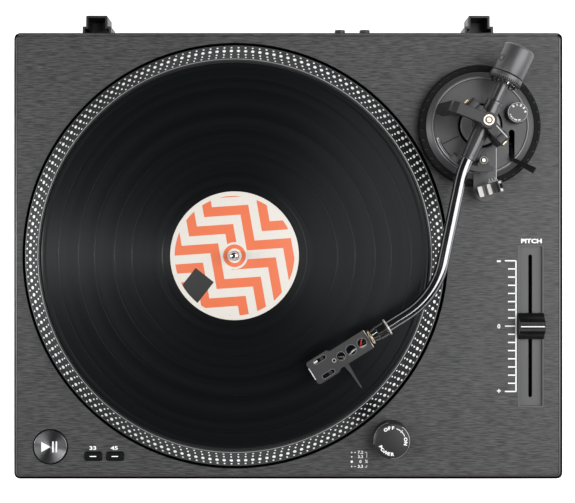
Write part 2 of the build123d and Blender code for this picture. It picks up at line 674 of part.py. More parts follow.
POST_AT, POST_R = (0.2, -28.2), 2.25         # cue lift's post, from the pivot
SHAFT_R = 4.0
PIN_R = 1.5
CUE_POINT = at_pivot(CUE_PIN[0], CUE_PIN[1])
CUE_PIN_Z = TOP_Z + CUE_PIN[2]
with BuildPart() as arm_base:
    with BuildSketch(upright(PIVOT)):
        with BuildLine():
            Polyline(
                (HUB_HOLE_R, BASE_FLOOR), (36.6, BASE_FLOOR), (37.2, TOP_Z + BASE_TOP),
                (38.4, TOP_Z + BASE_TOP), (BASE_R, TOP_Z + BASE_TOP - 2.2), (BASE_R, TOP_Z + 8.0),
                (BASE_TUBE_R, TOP_Z + 8.0), (BASE_TUBE_R, TOP_Z - 22.0),
                (SHAFT_R + RUNNING_GAP, TOP_Z - 22.0), (SHAFT_R + RUNNING_GAP, TOP_Z + 6.0),
                (11.0, TOP_Z + 6.0), (11.0, TOP_Z - 18.5), (31.3, TOP_Z - 18.5),
                (31.3, TOP_Z + 8.0), (HUB_HOLE_R, TOP_Z + 8.0), close=True,
            )
        make_face()
    revolve(axis=Axis((*PIVOT, 0), (0, 0, 1)))
    with BuildSketch(Plane.XY.offset(TOP_Z + 1.0)):
        with Locations(at_pivot(CUE_PIN[0], sum(CUE_SLOT) / 2)):
            SlotOverall(CUE_SLOT[1] - CUE_SLOT[0], 4.6, rotation=90)
    extrude(amount=14.0, mode=Mode.SUBTRACT)
    with BuildSketch(Plane.XY.offset(TOP_Z + 7.0)):
        with Locations(at_pivot(*POST_AT)):
            Circle(POST_R + RUNNING_GAP)
        with Locations(at_pivot(*SKATE_AT)):
            Circle(2.1)
    extrude(amount=8.0, mode=Mode.SUBTRACT)
    # the cheek that carries the cue lever's pin
    with BuildSketch(Plane.XY.offset(CUE_PIN_Z - 3.0)):
        with Locations((CUE_POINT[0] - 3.9, CUE_POINT[1])):
            Rectangle(3.0, 8.0)
    extrude(amount=6.0)
    with BuildSketch(Plane(origin=(CUE_POINT[0] - 6.0, CUE_POINT[1], CUE_PIN_Z), z_dir=(1, 0, 0))):
        Circle(PIN_R + RUNNING_GAP)
    extrude(amount=5.0, mode=Mode.SUBTRACT)
write(arm_base, "arm_base")

# ---- the arm's own centre line: sleeve, first bend, long run, second bend, head ----------------
BEND_1 = ahead(PIVOT, SLEEVE_HEADING, SLEEVE_REACH)
BEND_2 = ahead(BEND_1, MID_HEADING, MID_RUN)
FERRULE = ahead(BEND_2, HEAD_HEADING, HEAD_RUN)
FERRULE_AT = (*FERRULE, ARM_Z)

# ---- arm rest: a tongue from the hub out over the height ring, a post and a ribbed cradle -------
TONGUE_X, TONGUE_W, TONGUE_END = 3.4, 17.8, -59.2
SADDLE_Z = ARM_Z - TUBE_R - 0.5
REST_HEADING = MID_HEADING + PARK_YAW


def parked(point):
    """Where a point of the arm lies once the arm has been swung out to its rest."""
    a = radians(PARK_YAW)
    x, y = point[0] - PIVOT[0], point[1] - PIVOT[1]
    return at_pivot(x * cos(a) - y * sin(a), x * sin(a) + y * cos(a))


REST_POINT = parked(ahead(BEND_1, MID_HEADING, 10.4))
with BuildPart() as arm_rest:
    with BuildSketch(Plane.XY.offset(BASE_FLOOR)):
        with Locations(at_pivot(TONGUE_X, (TONGUE_END - 15.0 + TONGUE_W / 2) / 2)):
            Rectangle(TONGUE_W, -15.0 - TONGUE_END - TONGUE_W / 2)
        with Locations(at_pivot(TONGUE_X, TONGUE_END + TONGUE_W / 2)):
            Circle(TONGUE_W / 2)
        with Locations(PIVOT):
            Circle(HUB_HOLE_R + 1.0, mode=Mode.SUBTRACT)
        with Locations(at_pivot(*POST_AT)):
            Circle(POST_R + 0.4, mode=Mode.SUBTRACT)
    extrude(amount=2.4)
    # the tongue bridges the base's raised rim
    with BuildSketch(Plane.XY.offset(BASE_FLOOR)):
        with Locations(PIVOT):
            Circle(62.0)
            Circle(36.2, mode=Mode.SUBTRACT)
    extrude(amount=0.6, mode=Mode.SUBTRACT)
    with BuildSketch(level(REST_POINT, REST_HEADING, BASE_FLOOR + 2.4)):
        RectangleRounded(6.4, 10.0, 2.0)
    extrude(amount=SADDLE_Z - 3.0 - BASE_FLOOR - 2.4)
    with BuildSketch(across((*REST_POINT, 0), REST_HEADING, -4.2)):
        with BuildLine():
            Polyline(
                (-9.2, SADDLE_Z), (-9.2, SADDLE_Z - 2.2), (-5.0, SADDLE_Z - 3.6),
                (6.0, SADDLE_Z - 3.6), (9.4, SADDLE_Z - 1.0), (9.4, ARM_Z + 1.2),
                (6.0, ARM_Z + 1.2), (6.0, SADDLE_Z), close=True,
            )
        make_face()
        with Locations((-4.0, SADDLE_Z), (2.5, SADDLE_Z)):
            Rectangle(2.9, 3.2, mode=Mode.SUBTRACT)
    extrude(amount=8.4)
    # the knuckle slot and pin hole of the clamp
    with BuildSketch(level(REST_POINT, REST_HEADING, ARM_Z - 3.4)):
        with Locations((0, 7.8)):
            Rectangle(4.8, 6.0)
    extrude(amount=6.0, mode=Mode.SUBTRACT)
    with BuildSketch(across((*REST_POINT, ARM_Z - 0.9), REST_HEADING, -6.0)):
        with Locations((7.7, 0)):
            Circle(0.85)
    extrude(amount=12.0, mode=Mode.SUBTRACT)
write(arm_rest, "arm_rest")

with BuildPart() as arm_clamp:
    # drawn open: the hook stands up from its pin at the cradle's outer side
    with BuildSketch(across((*REST_POINT, ARM_Z - 0.9), REST_HEADING, -2.0)):
        with BuildLine():
            Polyline(
                (6.4, -1.3), (9.0, -1.3), (9.6, 3.4), (8.6, 14.6), (6.6, 16.4), (5.2, 15.6),
                (6.8, 13.8), (7.5, 3.4), (6.4, 1.3), close=True,
            )
        make_face()
    extrude(amount=4.0)
    with BuildSketch(across((*REST_POINT, ARM_Z - 0.9), REST_HEADING, -4.0)):
        with Locations((7.7, 0)):
            Circle(0.8)
    extrude(amount=8.0)
write(arm_clamp, "arm_clamp")

anti_skate_dial = turned_upright(at_pivot(*SKATE_AT), [
    (0, TOP_Z + 9.0), (2.05, TOP_Z + 9.0), (2.05, BASE_FLOOR + 0.9),
    (SKATE_R, BASE_FLOOR + 0.9), (SKATE_R, TOP_Z + 20.2), (SKATE_R - 0.8, TOP_Z + 21.0),
    (0, TOP_Z + 21.0),
])
write(anti_skate_dial, "anti_skate_dial")

# ---- cue lever and lift --------------------------------------------------------------------
CUE_REACH = 17.0
BLADE_END = (
    CUE_POINT[0],
    CUE_POINT[1] - CUE_REACH * sin(radians(CUE_TILT)),
    CUE_PIN_Z + CUE_REACH * cos(radians(CUE_TILT)),
)
GRIP_DIR = Vector(16.4, -9.7, 8.4).normalized()
GRIP_SIDE = Vector(0, 0, 1).cross(GRIP_DIR).normalized()
GRIP_LEN = 20.0
with BuildPart() as cue_lever:
    with BuildSketch(Plane(origin=(CUE_POINT[0] - 1.2, CUE_POINT[1], CUE_PIN_Z),
                           x_dir=(0, 1, 0), z_dir=(1, 0, 0))):
        Circle(2.6)
        with Locations((-CUE_REACH / 2 * sin(radians(CUE_TILT)), CUE_REACH / 2 * cos(radians(CUE_TILT)))):
            SlotOverall(CUE_REACH + 3.0, 3.0, rotation=90 + CUE_TILT)
    extrude(amount=2.4)
    with BuildSketch(Plane(origin=(CUE_POINT[0] - 5.2, CUE_POINT[1], CUE_PIN_Z), z_dir=(1, 0, 0))):
        Circle(PIN_R)
    extrude(amount=5.2)
    with BuildSketch(Plane(origin=Vector(*BLADE_END), x_dir=GRIP_SIDE, z_dir=GRIP_DIR)):
        RectangleRounded(2.8, 2.2, 0.8)
    with BuildSketch(Plane(origin=Vector(*BLADE_END) + GRIP_DIR * GRIP_LEN, x_dir=GRIP_SIDE,
                           z_dir=GRIP_DIR)):
        RectangleRounded(5.0, 2.6, 1.0)
    loft()
write(cue_lever, "cue_lever")

LIFT_TOP = ARM_Z - TUBE_R - LIFT_GAP
LIFT_LOW = LIFT_TOP - 3.4
LIFT_FROM, LIFT_TO = -134.0, -78.0
with BuildPart() as cue_lift:
    with BuildSketch(Plane.XY.offset(LIFT_LOW)):
        with BuildLine():
            outer = CenterArc(PIVOT, LIFT_R + LIFT_W / 2, LIFT_FROM, LIFT_TO - LIFT_FROM)
            inner = CenterArc(PIVOT, LIFT_R - LIFT_W / 2, LIFT_FROM, LIFT_TO - LIFT_FROM)
            Line(outer @ 0, inner @ 0)
            Line(outer @ 1, inner @ 1)
        make_face()
    extrude(amount=LIFT_TOP - LIFT_LOW)
    with BuildSketch(Plane.XY.offset(LIFT_LOW - 2.5)):
        with Locations(at_pivot(POST_AT[0], POST_AT[1] - 4.2)):
            RectangleRounded(7.0, 14.0, 2.5)
    extrude(amount=2.5)
    with BuildSketch(Plane.XY.offset(TOP_Z - 6.0)):
        with Locations(at_pivot(*POST_AT)):
            Circle(POST_R)
    extrude(amount=LIFT_LOW + 0.9 - TOP_Z + 6.0)
write(cue_lift, "cue_lift")

# ---- pivot bridge and gimbal yoke -------------------------------------------------------------
BOSS_LOW, BOSS_TOP = ARM_Z + 15.0, ARM_Z + 20.8
with BuildPart() as pivot_bridge:
    with BuildSketch(lengthwise((*PIVOT, 0), BRIDGE_HEADING)):
        with BuildLine():
            Polyline(
                (0, BOSS_TOP), (24.6, BOSS_TOP), (27.2, BOSS_TOP - 0.6), (29.2, BOSS_TOP - 2.0),
                (30.6, BOSS_TOP - 4.2), (35.8, BASE_FLOOR), (28.8, BASE_FLOOR), (24.8, BOSS_LOW + 0.6),
                (0, BOSS_LOW + 0.6), close=True,
            )
        make_face()
    extrude(amount=4.2, both=True)
    with BuildSketch(Plane.XY.offset(BOSS_LOW)):
        with Locations(PIVOT):
            Circle(6.2)
    extrude(amount=BOSS_TOP - BOSS_LOW)
    with BuildSketch(Plane.XY.offset(BOSS_LOW)):
        with Locations(PIVOT):
            Circle(PIN_R)
    extrude(amount=BOSS_TOP - BOSS_LOW, mode=Mode.SUBTRACT)
write(pivot_bridge, "pivot_bridge")

with BuildPart() as bearing_screw:
    with BuildSketch(Plane.XY.offset(ARM_Z + 10.8)):
        with Locations(PIVOT):
            Circle(PIN_R)
    extrude(amount=BOSS_TOP - ARM_Z - 10.8)
    with BuildSketch(Plane.XY.offset(BOSS_TOP)):
        with Locations(PIVOT):
            RegularPolygon(3.5, 6)
    extrude(amount=1.2)
    with BuildSketch(Plane.XY.offset(BOSS_TOP + 0.5)):
        with Locations(PIVOT):
            RectangleRounded(5.0, 0.9, 0.2, rotation=30)
    extrude(amount=0.7, mode=Mode.SUBTRACT)
write(bearing_screw, "bearing_screw")

HUB_LOW, HUB_TOP = TOP_Z + 8.6, TOP_Z + 12.8
with BuildPart() as gimbal_yoke:
    with BuildSketch(lengthwise(PIVOT_AT_ARM, PITCH_HEADING)):
        RectangleRounded(2 * YOKE_HALF, YOKE_TALL, 9.0)
        RectangleRounded(24.0, 18.0, 8.4, mode=Mode.SUBTRACT)
    extrude(amount=YOKE_T / 2, both=True)
    with BuildSketch(Plane.XY.offset(HUB_TOP)):
        with Locations(PIVOT):
            Circle(6.2)
    extrude(amount=ARM_Z - 10.5 - HUB_TOP)
    with BuildSketch(Plane.XY.offset(HUB_LOW)):
        with Locations(PIVOT):
            Circle(HUB_R)
    extrude(amount=HUB_TOP - HUB_LOW)
    with BuildSketch(Plane.XY.offset(TOP_Z - 20.0)):
        with Locations(PIVOT):
            Circle(SHAFT_R)
    extrude(amount=HUB_LOW - TOP_Z + 20.0)
    with BuildSketch(across(PIVOT_AT_ARM, PITCH_HEADING, -YOKE_HALF)):
        Circle(AXLE_R + RUNNING_GAP)
    extrude(amount=2 * YOKE_HALF, mode=Mode.SUBTRACT)
    with BuildSketch(Plane.XY.offset(ARM_Z + 10.4)):
        with Locations(PIVOT):
            Circle(PIN_R + RUNNING_GAP)
    extrude(amount=6.0, mode=Mode.SUBTRACT)
write(gimbal_yoke, "gimbal_yoke")

with BuildPart() as yoke_screws:
    for side in (PITCH_HEADING, PITCH_HEADING + 180.0):
        with BuildSketch(across(PIVOT_AT_ARM, side, 17.2)):
            Circle(AXLE_R)
        extrude(amount=YOKE_HALF - 17.2)
        with BuildSketch(across(PIVOT_AT_ARM, side, YOKE_HALF)):
            RegularPolygon(3.4, 6)
        extrude(amount=1.4)
        with BuildSketch(across(PIVOT_AT_ARM, side, YOKE_HALF + 0.8)):
            RectangleRounded(0.9, 4.6, 0.2)
        extrude(amount=0.6, mode=Mode.SUBTRACT)
write(yoke_screws, "yoke_screws")

with BuildPart() as pivot_axle:
    with BuildSketch(across(PIVOT_AT_ARM, PITCH_HEADING, -16.8)):
        Circle(AXLE_R)
    extrude(amount=33.6)
    for side in (PITCH_HEADING, PITCH_HEADING + 180.0):
        with BuildSketch(across(PIVOT_AT_ARM, side, 9.6)):
            Circle(3.0)
        extrude(amount=2.0)
write(pivot_axle, "pivot_axle")

# ============================================================================== the arm itself
with BuildPart() as arm_sleeve:
    with BuildSketch(lengthwise(PIVOT_AT_ARM, SLEEVE_HEADING)):
        with BuildLine():
            Polyline(
                (STUB_END, 0), (STUB_END, STUB_R - 0.6), (STUB_END + 0.6, STUB_R),
                (SLEEVE_REAR, STUB_R), (SLEEVE_REAR, SLEEVE_R - 0.7), (SLEEVE_REAR + 0.7, SLEEVE_R),
                (-15.4, SLEEVE_R), (-15.4, SLEEVE_R - 0.5), (-12.6, SLEEVE_R - 0.5), (-12.6, SLEEVE_R),
                (6.0, SLEEVE_R), (27.0, 5.7), (27.0, 5.2), (28.2, 5.2), (28.2, 5.6),
                (SLEEVE_FRONT - 0.5, 5.6), (SLEEVE_FRONT, 5.1), (SLEEVE_FRONT, TUBE_R),
                (22.0, TUBE_R), (22.0, 0), close=True,
            )
        make_face()
    revolve(axis=axis_of(PIVOT_AT_ARM, SLEEVE_HEADING))
    with BuildSketch(across(PIVOT_AT_ARM, PITCH_HEADING, -12.0)):
        Circle(AXLE_R + RUNNING_GAP)
    extrude(amount=24.0, mode=Mode.SUBTRACT)
write(arm_sleeve, "arm_sleeve")

with BuildPart() as arm_tube:
    with BuildLine() as centre_line:
        Polyline(
            (*ahead(PIVOT, SLEEVE_HEADING, 22.0), ARM_Z), (*BEND_1, ARM_Z), (*BEND_2, ARM_Z),
            (*ahead(FERRULE, HEAD_HEADING, 0.6), ARM_Z),
        )
        fillet(centre_line.vertices().sort_by_distance((*BEND_1, ARM_Z))[0], BEND_1_R)
        fillet(centre_line.vertices().sort_by_distance((*BEND_2, ARM_Z))[0], BEND_2_R)
    with BuildSketch(across(PIVOT_AT_ARM, SLEEVE_HEADING, 22.0)):
        Circle(TUBE_R)
        Circle(TUBE_R - TUBE_WALL, mode=Mode.SUBTRACT)
    sweep()
    with BuildSketch(across(FERRULE_AT, HEAD_HEADING, -0.9)):
        Circle(6.7)
        Circle(TUBE_R - 0.2, mode=Mode.SUBTRACT)
    extrude(amount=1.2)
write(arm_tube, "arm_tube")

PLUG_R = TUBE_R - TUBE_WALL
COLLAR_GROOVES = (2.6, 3.8, 5.0, 6.2, 7.4)
with BuildPart() as locking_collar:
    with BuildSketch(lengthwise(FERRULE_AT, HEAD_HEADING)):
        with BuildLine():
            Polyline(
                (1.0, PLUG_R + RUNNING_GAP), (1.0, 6.6), (1.5, 7.1), (8.2, 7.1), (8.7, 6.6),
                (13.0, 5.6), (13.0, PLUG_R + RUNNING_GAP), close=True,
            )
        make_face()
        for x in COLLAR_GROOVES:
            with Locations((x, 7.1)):
                Rectangle(0.5, 1.0, mode=Mode.SUBTRACT)
    revolve(axis=axis_of(FERRULE_AT, HEAD_HEADING))
write(locking_collar, "locking_collar")

PLATE_LOW, PLATE_TOP = ARM_Z - 1.8, ARM_Z + 2.2
HALF_REAR, HALF_FRONT = 7.85, 9.7
with BuildPart() as headshell:
    with BuildSketch(lengthwise(FERRULE_AT, HEAD_HEADING)):
        with BuildLine():
            Polyline(
                (-6.0, 0), (-6.0, PLUG_R), (13.3, PLUG_R), (13.3, 5.7), (13.8, 6.2), (15.0, 6.2),
                (15.4, 5.7), (15.4, 4.6), (HEAD_REAR, 4.6), (HEAD_REAR, 1.5), (HEAD_REAR + 1.0, 1.5),
                (HEAD_REAR + 1.0, 0), close=True,
            )
        make_face()
    revolve(axis=axis_of(FERRULE_AT, HEAD_HEADING))
    with BuildSketch(level(FERRULE, HEAD_HEADING, PLATE_LOW)):
        with BuildLine():
            Polyline(
                (HEAD_REAR, HALF_REAR - 0.5), (HEAD_REAR + 0.5, HALF_REAR),
                (HEAD_REAR + 30.0, HALF_REAR), (HEAD_REAR + 32.5, HALF_FRONT),
                (HEAD_FRONT - 1.5, HALF_FRONT), (HEAD_FRONT, HALF_FRONT - 1.5),
                (HEAD_FRONT, 1.5 - HALF_FRONT), (HEAD_FRONT - 1.5, -HALF_FRONT),
                (HEAD_REAR + 32.5, -HALF_FRONT), (HEAD_REAR + 30.0, -HALF_REAR),
                (HEAD_REAR + 0.5, -HALF_REAR), (HEAD_REAR, 0.5 - HALF_REAR), close=True,
            )
        make_face()
    extrude(amount=PLATE_TOP - PLATE_LOW)
    # the hollow under the rear of the plate, where the leads run
    with BuildSketch(level(FERRULE, HEAD_HEADING, PLATE_LOW - 3.0)):
        with Locations((HEAD_REAR + 17.0, 0)):
            Rectangle(28.0, 12.0)
    extrude(amount=5.2, mode=Mode.SUBTRACT)
    with BuildSketch(level(FERRULE, HEAD_HEADING, PLATE_LOW)):
        for x, radius in ((6.3, 3.6), (16.0, 3.9), (25.0, 3.2)):
            with Locations((HEAD_REAR + x, 0)):
                Circle(radius)
        with Locations((HEAD_REAR + 40.2, -6.4), (HEAD_REAR + 40.2, 6.4)):
            SlotOverall(10.5, 3.3)
    extrude(amount=PLATE_TOP - PLATE_LOW, mode=Mode.SUBTRACT)
    # finger lift
    with BuildSketch(level(FERRULE, HEAD_HEADING, PLATE_LOW)):
        with BuildLine():
            Polyline(
                (HEAD_REAR + 23.0, HALF_REAR - 0.6), (HEAD_REAR + 27.2, HALF_REAR - 0.6),
                (HEAD_REAR + 25.8, 16.0), (HEAD_REAR + 25.1, 28.7), (HEAD_REAR + 24.6, 29.4),
                (HEAD_REAR + 24.1, 28.7), (HEAD_REAR + 23.6, 16.0), close=True,
            )
        make_face()
    extrude(amount=1.3)
write(headshell, "headshell")

SCREW_AT = HEAD_REAR + 38.5
SCREW_Y = 6.4
CARTRIDGE_BACK, CARTRIDGE_FRONT = HEAD_REAR + 31.5, HEAD_REAR + 49.0
with BuildPart() as cartridge:
    with BuildSketch(level(FERRULE, HEAD_HEADING, PLATE_LOW - 4.0)):
        with Locations(((CARTRIDGE_BACK + CARTRIDGE_FRONT) / 2, 0)):
            RectangleRounded(CARTRIDGE_FRONT - CARTRIDGE_BACK, 17.4, 1.5)
    extrude(amount=4.0)
    with BuildSketch(level(FERRULE, HEAD_HEADING, PLATE_LOW - 13.0)):
        with Locations(((CARTRIDGE_BACK + CARTRIDGE_FRONT) / 2, 0)):
            RectangleRounded(CARTRIDGE_FRONT - CARTRIDGE_BACK - 1.0, 13.0, 2.0)
    extrude(amount=9.0)
    with BuildSketch(level(FERRULE, HEAD_HEADING, PLATE_LOW - 4.0)):
        with Locations((SCREW_AT, -SCREW_Y), (SCREW_AT, SCREW_Y)):
            Circle(1.25)
    extrude(amount=4.0, mode=Mode.SUBTRACT)
write(cartridge, "cartridge")

TIP_Z = RECORD_TOP + STYLUS_CLEAR
with BuildPart() as stylus:
    with BuildSketch(level(FERRULE, HEAD_HEADING, PLATE_LOW - 16.6)):
        with Locations((STYLUS_X - 4.0, 0)):
            RectangleRounded(11.0, 9.0, 1.2)
    extrude(amount=3.6)
    with BuildSketch(across((*FERRULE, PLATE_LOW - 15.8), HEAD_HEADING, STYLUS_X - 5.0)):
        Circle(0.7)
    with BuildSketch(across((*FERRULE, TIP_Z + 1.0), HEAD_HEADING, STYLUS_X + 0.4)):
        Circle(0.4)
    loft()
    with BuildSketch(level(ahead(FERRULE, HEAD_HEADING, STYLUS_X), HEAD_HEADING, TIP_Z + 1.1)):
        Circle(0.35)
    extrude(amount=-1.1, taper=14)
write(stylus, "stylus")

# four leads from the connector's pins to the cartridge's pins, as (sideways, sag)
LEAD_R, LEAD_START, LEAD_END = 0.5, -1.4, -8.0
LEAD_FROM, LEAD_TO = HEAD_REAR + 3.1, CARTRIDGE_BACK - 0.1
with BuildPart() as headshell_leads:
    for sideways, sag in ((-3.3, 2.2), (-1.1, 1.0), (1.1, 1.0), (3.3, 2.2)):
        with BuildLine(lengthwise(FERRULE_AT, HEAD_HEADING).offset(sideways)) as lead:
            FilletPolyline(
                (LEAD_FROM, LEAD_START), (LEAD_FROM + 5.0, LEAD_START),
                (LEAD_FROM + 14.0, LEAD_END - sag), (LEAD_FROM + 21.0, LEAD_END),
                (LEAD_TO, LEAD_END), radius=2.5,
            )
        with BuildSketch(across(FERRULE_AT, HEAD_HEADING, LEAD_FROM)):
            with Locations((-sideways, LEAD_START)):
                Circle(LEAD_R)
        sweep(path=lead.line)
write(headshell_leads, "headshell_leads")

with BuildPart() as cartridge_screws:
    for y in (-SCREW_Y, SCREW_Y):
        with BuildSketch(level(FERRULE, HEAD_HEADING, PLATE_TOP)):
            with Locations((SCREW_AT, y)):
                Circle(2.3)
        extrude(amount=1.6)
        with BuildSketch(level(FERRULE, HEAD_HEADING, PLATE_TOP + 0.9)):
            with Locations((SCREW_AT, y)):
                Rectangle(0.8, 3.4)
        extrude(amount=0.7, mode=Mode.SUBTRACT)
        with BuildSketch(level(FERRULE, HEAD_HEADING, PLATE_LOW - 3.4)):
            with Locations((SCREW_AT, y)):
                Circle(1.2)
        extrude(amount=PLATE_TOP - PLATE_LOW + 3.4)
write(cartridge_screws, "cartridge_screws")

# ---- counterweight ----------------------------------------------------------------------------
CORE_R = 6.2
BACK_PLANE = lengthwise(PIVOT_AT_ARM, SLEEVE_HEADING)
BACK_AXIS = axis_of(PIVOT_AT_ARM, SLEEVE_HEADING)
counterweight_core = turned(BACK_PLANE, BACK_AXIS, [
    (DIAL_FRONT - 1.0, STUB_R + RUNNING_GAP), (DIAL_FRONT - 1.0, CORE_R), (WEIGHT_REAR + 1.5, CORE_R),
    (WEIGHT_REAR + 1.5, STUB_R + RUNNING_GAP),
])
write(counterweight_core, "counterweight_core")

with BuildPart() as counterweight:
    with BuildSketch(BACK_PLANE):
        with BuildLine():
            Polyline(
                (WEIGHT_FRONT, CORE_R + RUNNING_GAP), (WEIGHT_FRONT, WEIGHT_R - 0.5),
                (WEIGHT_FRONT - 0.5, WEIGHT_R), (WEIGHT_REAR + 1.2, WEIGHT_R),
                (WEIGHT_REAR, WEIGHT_R - 1.2), (WEIGHT_REAR, CORE_R + RUNNING_GAP), close=True,
            )
        make_face()
    revolve(axis=BACK_AXIS)
    with BuildSketch(Plane(origin=(*ahead(PIVOT, SLEEVE_HEADING, -50.5), ARM_Z), x_dir=(0, 0, 1),
                           z_dir=(sin(radians(SLEEVE_HEADING)), -cos(radians(SLEEVE_HEADING)), 0))):
        Circle(1.5)
    extrude(amount=14.0, mode=Mode.SUBTRACT)
write(counterweight, "counterweight")

KNURLS = 48
with BuildPart() as force_dial:
    with BuildSketch(BACK_PLANE):
        with BuildLine():
            Polyline(
                (DIAL_FRONT, CORE_R + RUNNING_GAP), (DIAL_FRONT, DIAL_R - 0.4),
                (DIAL_FRONT - 0.4, DIAL_R), (DIAL_REAR + 0.4, DIAL_R), (DIAL_REAR, DIAL_R - 0.4),
                (DIAL_REAR, CORE_R + RUNNING_GAP), close=True,
            )
        make_face()
    revolve(axis=BACK_AXIS)
    with BuildSketch(across(PIVOT_AT_ARM, SLEEVE_HEADING, DIAL_FRONT)):
        with PolarLocations(DIAL_R + 0.15, KNURLS):
            Circle(0.4)
    extrude(amount=-2.4, mode=Mode.SUBTRACT)
write(force_dial, "force_dial")
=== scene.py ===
"""Looks for the turntable record player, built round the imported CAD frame. Lengths are metres."""

import json
from math import cos, hypot, pi, radians, sin, tan

import bmesh
import bpy
from mathutils import Matrix, Vector


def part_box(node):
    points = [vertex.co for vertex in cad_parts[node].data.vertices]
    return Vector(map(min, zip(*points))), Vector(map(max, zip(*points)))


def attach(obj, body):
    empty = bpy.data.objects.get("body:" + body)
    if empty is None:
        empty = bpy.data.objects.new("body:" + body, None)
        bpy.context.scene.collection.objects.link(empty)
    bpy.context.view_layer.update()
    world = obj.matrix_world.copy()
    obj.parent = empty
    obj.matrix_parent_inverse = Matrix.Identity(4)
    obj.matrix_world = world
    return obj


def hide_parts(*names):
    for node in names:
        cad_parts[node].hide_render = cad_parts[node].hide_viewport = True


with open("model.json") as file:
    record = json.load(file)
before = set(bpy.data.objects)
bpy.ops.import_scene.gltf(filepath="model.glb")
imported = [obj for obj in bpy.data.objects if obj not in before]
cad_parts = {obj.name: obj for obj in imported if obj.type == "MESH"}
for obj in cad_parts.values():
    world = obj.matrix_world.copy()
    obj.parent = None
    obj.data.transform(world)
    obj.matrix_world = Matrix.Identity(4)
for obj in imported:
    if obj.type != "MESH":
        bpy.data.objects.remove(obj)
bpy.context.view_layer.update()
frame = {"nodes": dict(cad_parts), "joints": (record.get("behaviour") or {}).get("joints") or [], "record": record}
NODES = frame["nodes"]
JOINTS = {joint["name"]: joint for joint in frame["joints"]}

MM = 0.001
UP = Vector((0, 0, 1))
ORIGIN = Vector((0, 0, 0))

# ---- places, all taken from the frame --------------------------------------------------------


def joint_place(name):
    """The point a hinge turns about."""
    return Vector(JOINTS[name]["pos_m"])


def joint_axis(name):
    """The direction of a joint's axis."""
    return Vector(JOINTS[name]["axis"]).normalized()


def size_of(node):
    """A CAD node's width, depth and height, in millimetres."""
    return [(high - low) / MM for low, high in zip(*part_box(node))]


panel_low, panel_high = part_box("top_panel")
DECK = Vector(((panel_low.x + panel_high.x) / 2, (panel_low.y + panel_high.y) / 2, panel_high.z))
TOP = DECK.z
SPINDLE = joint_place("platter_spin")
PIVOT = joint_place("arm_swing")
FERRULE = joint_place("locking_collar_turn")
HEAD_DIR = joint_axis("locking_collar_turn")
SLEEVE_DIR = -joint_axis("weight_turn")
POWER = joint_place("power_dial_turn")
RECORD_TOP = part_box("record_label")[1].z
BASE_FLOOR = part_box("arm_rest")[0].z
PIVOT_Z = FERRULE.z
AT_ARM = Vector((PIVOT.x, PIVOT.y, PIVOT_Z))


def on_deck(x, y, z=0.0):
    """A point given in millimetres from the middle of the panel's top face."""
    return DECK + Vector((x, y, z)) * MM


def shift(x, y, z=0.0):
    """A placing matrix that moves by millimetres."""
    return Matrix.Translation(Vector((x, y, z)) * MM)


def polar(radius, degrees, centre=(0, 0)):
    """The (x, y) point at a radius and an angle about a centre."""
    a = radians(degrees)
    return centre[0] + radius * cos(a), centre[1] + radius * sin(a)


def spoke(angle):
    """The outward and sideways directions at an angle in radians about the upright axis."""
    return Vector((cos(angle), sin(angle), 0)), Vector((-sin(angle), cos(angle), 0))


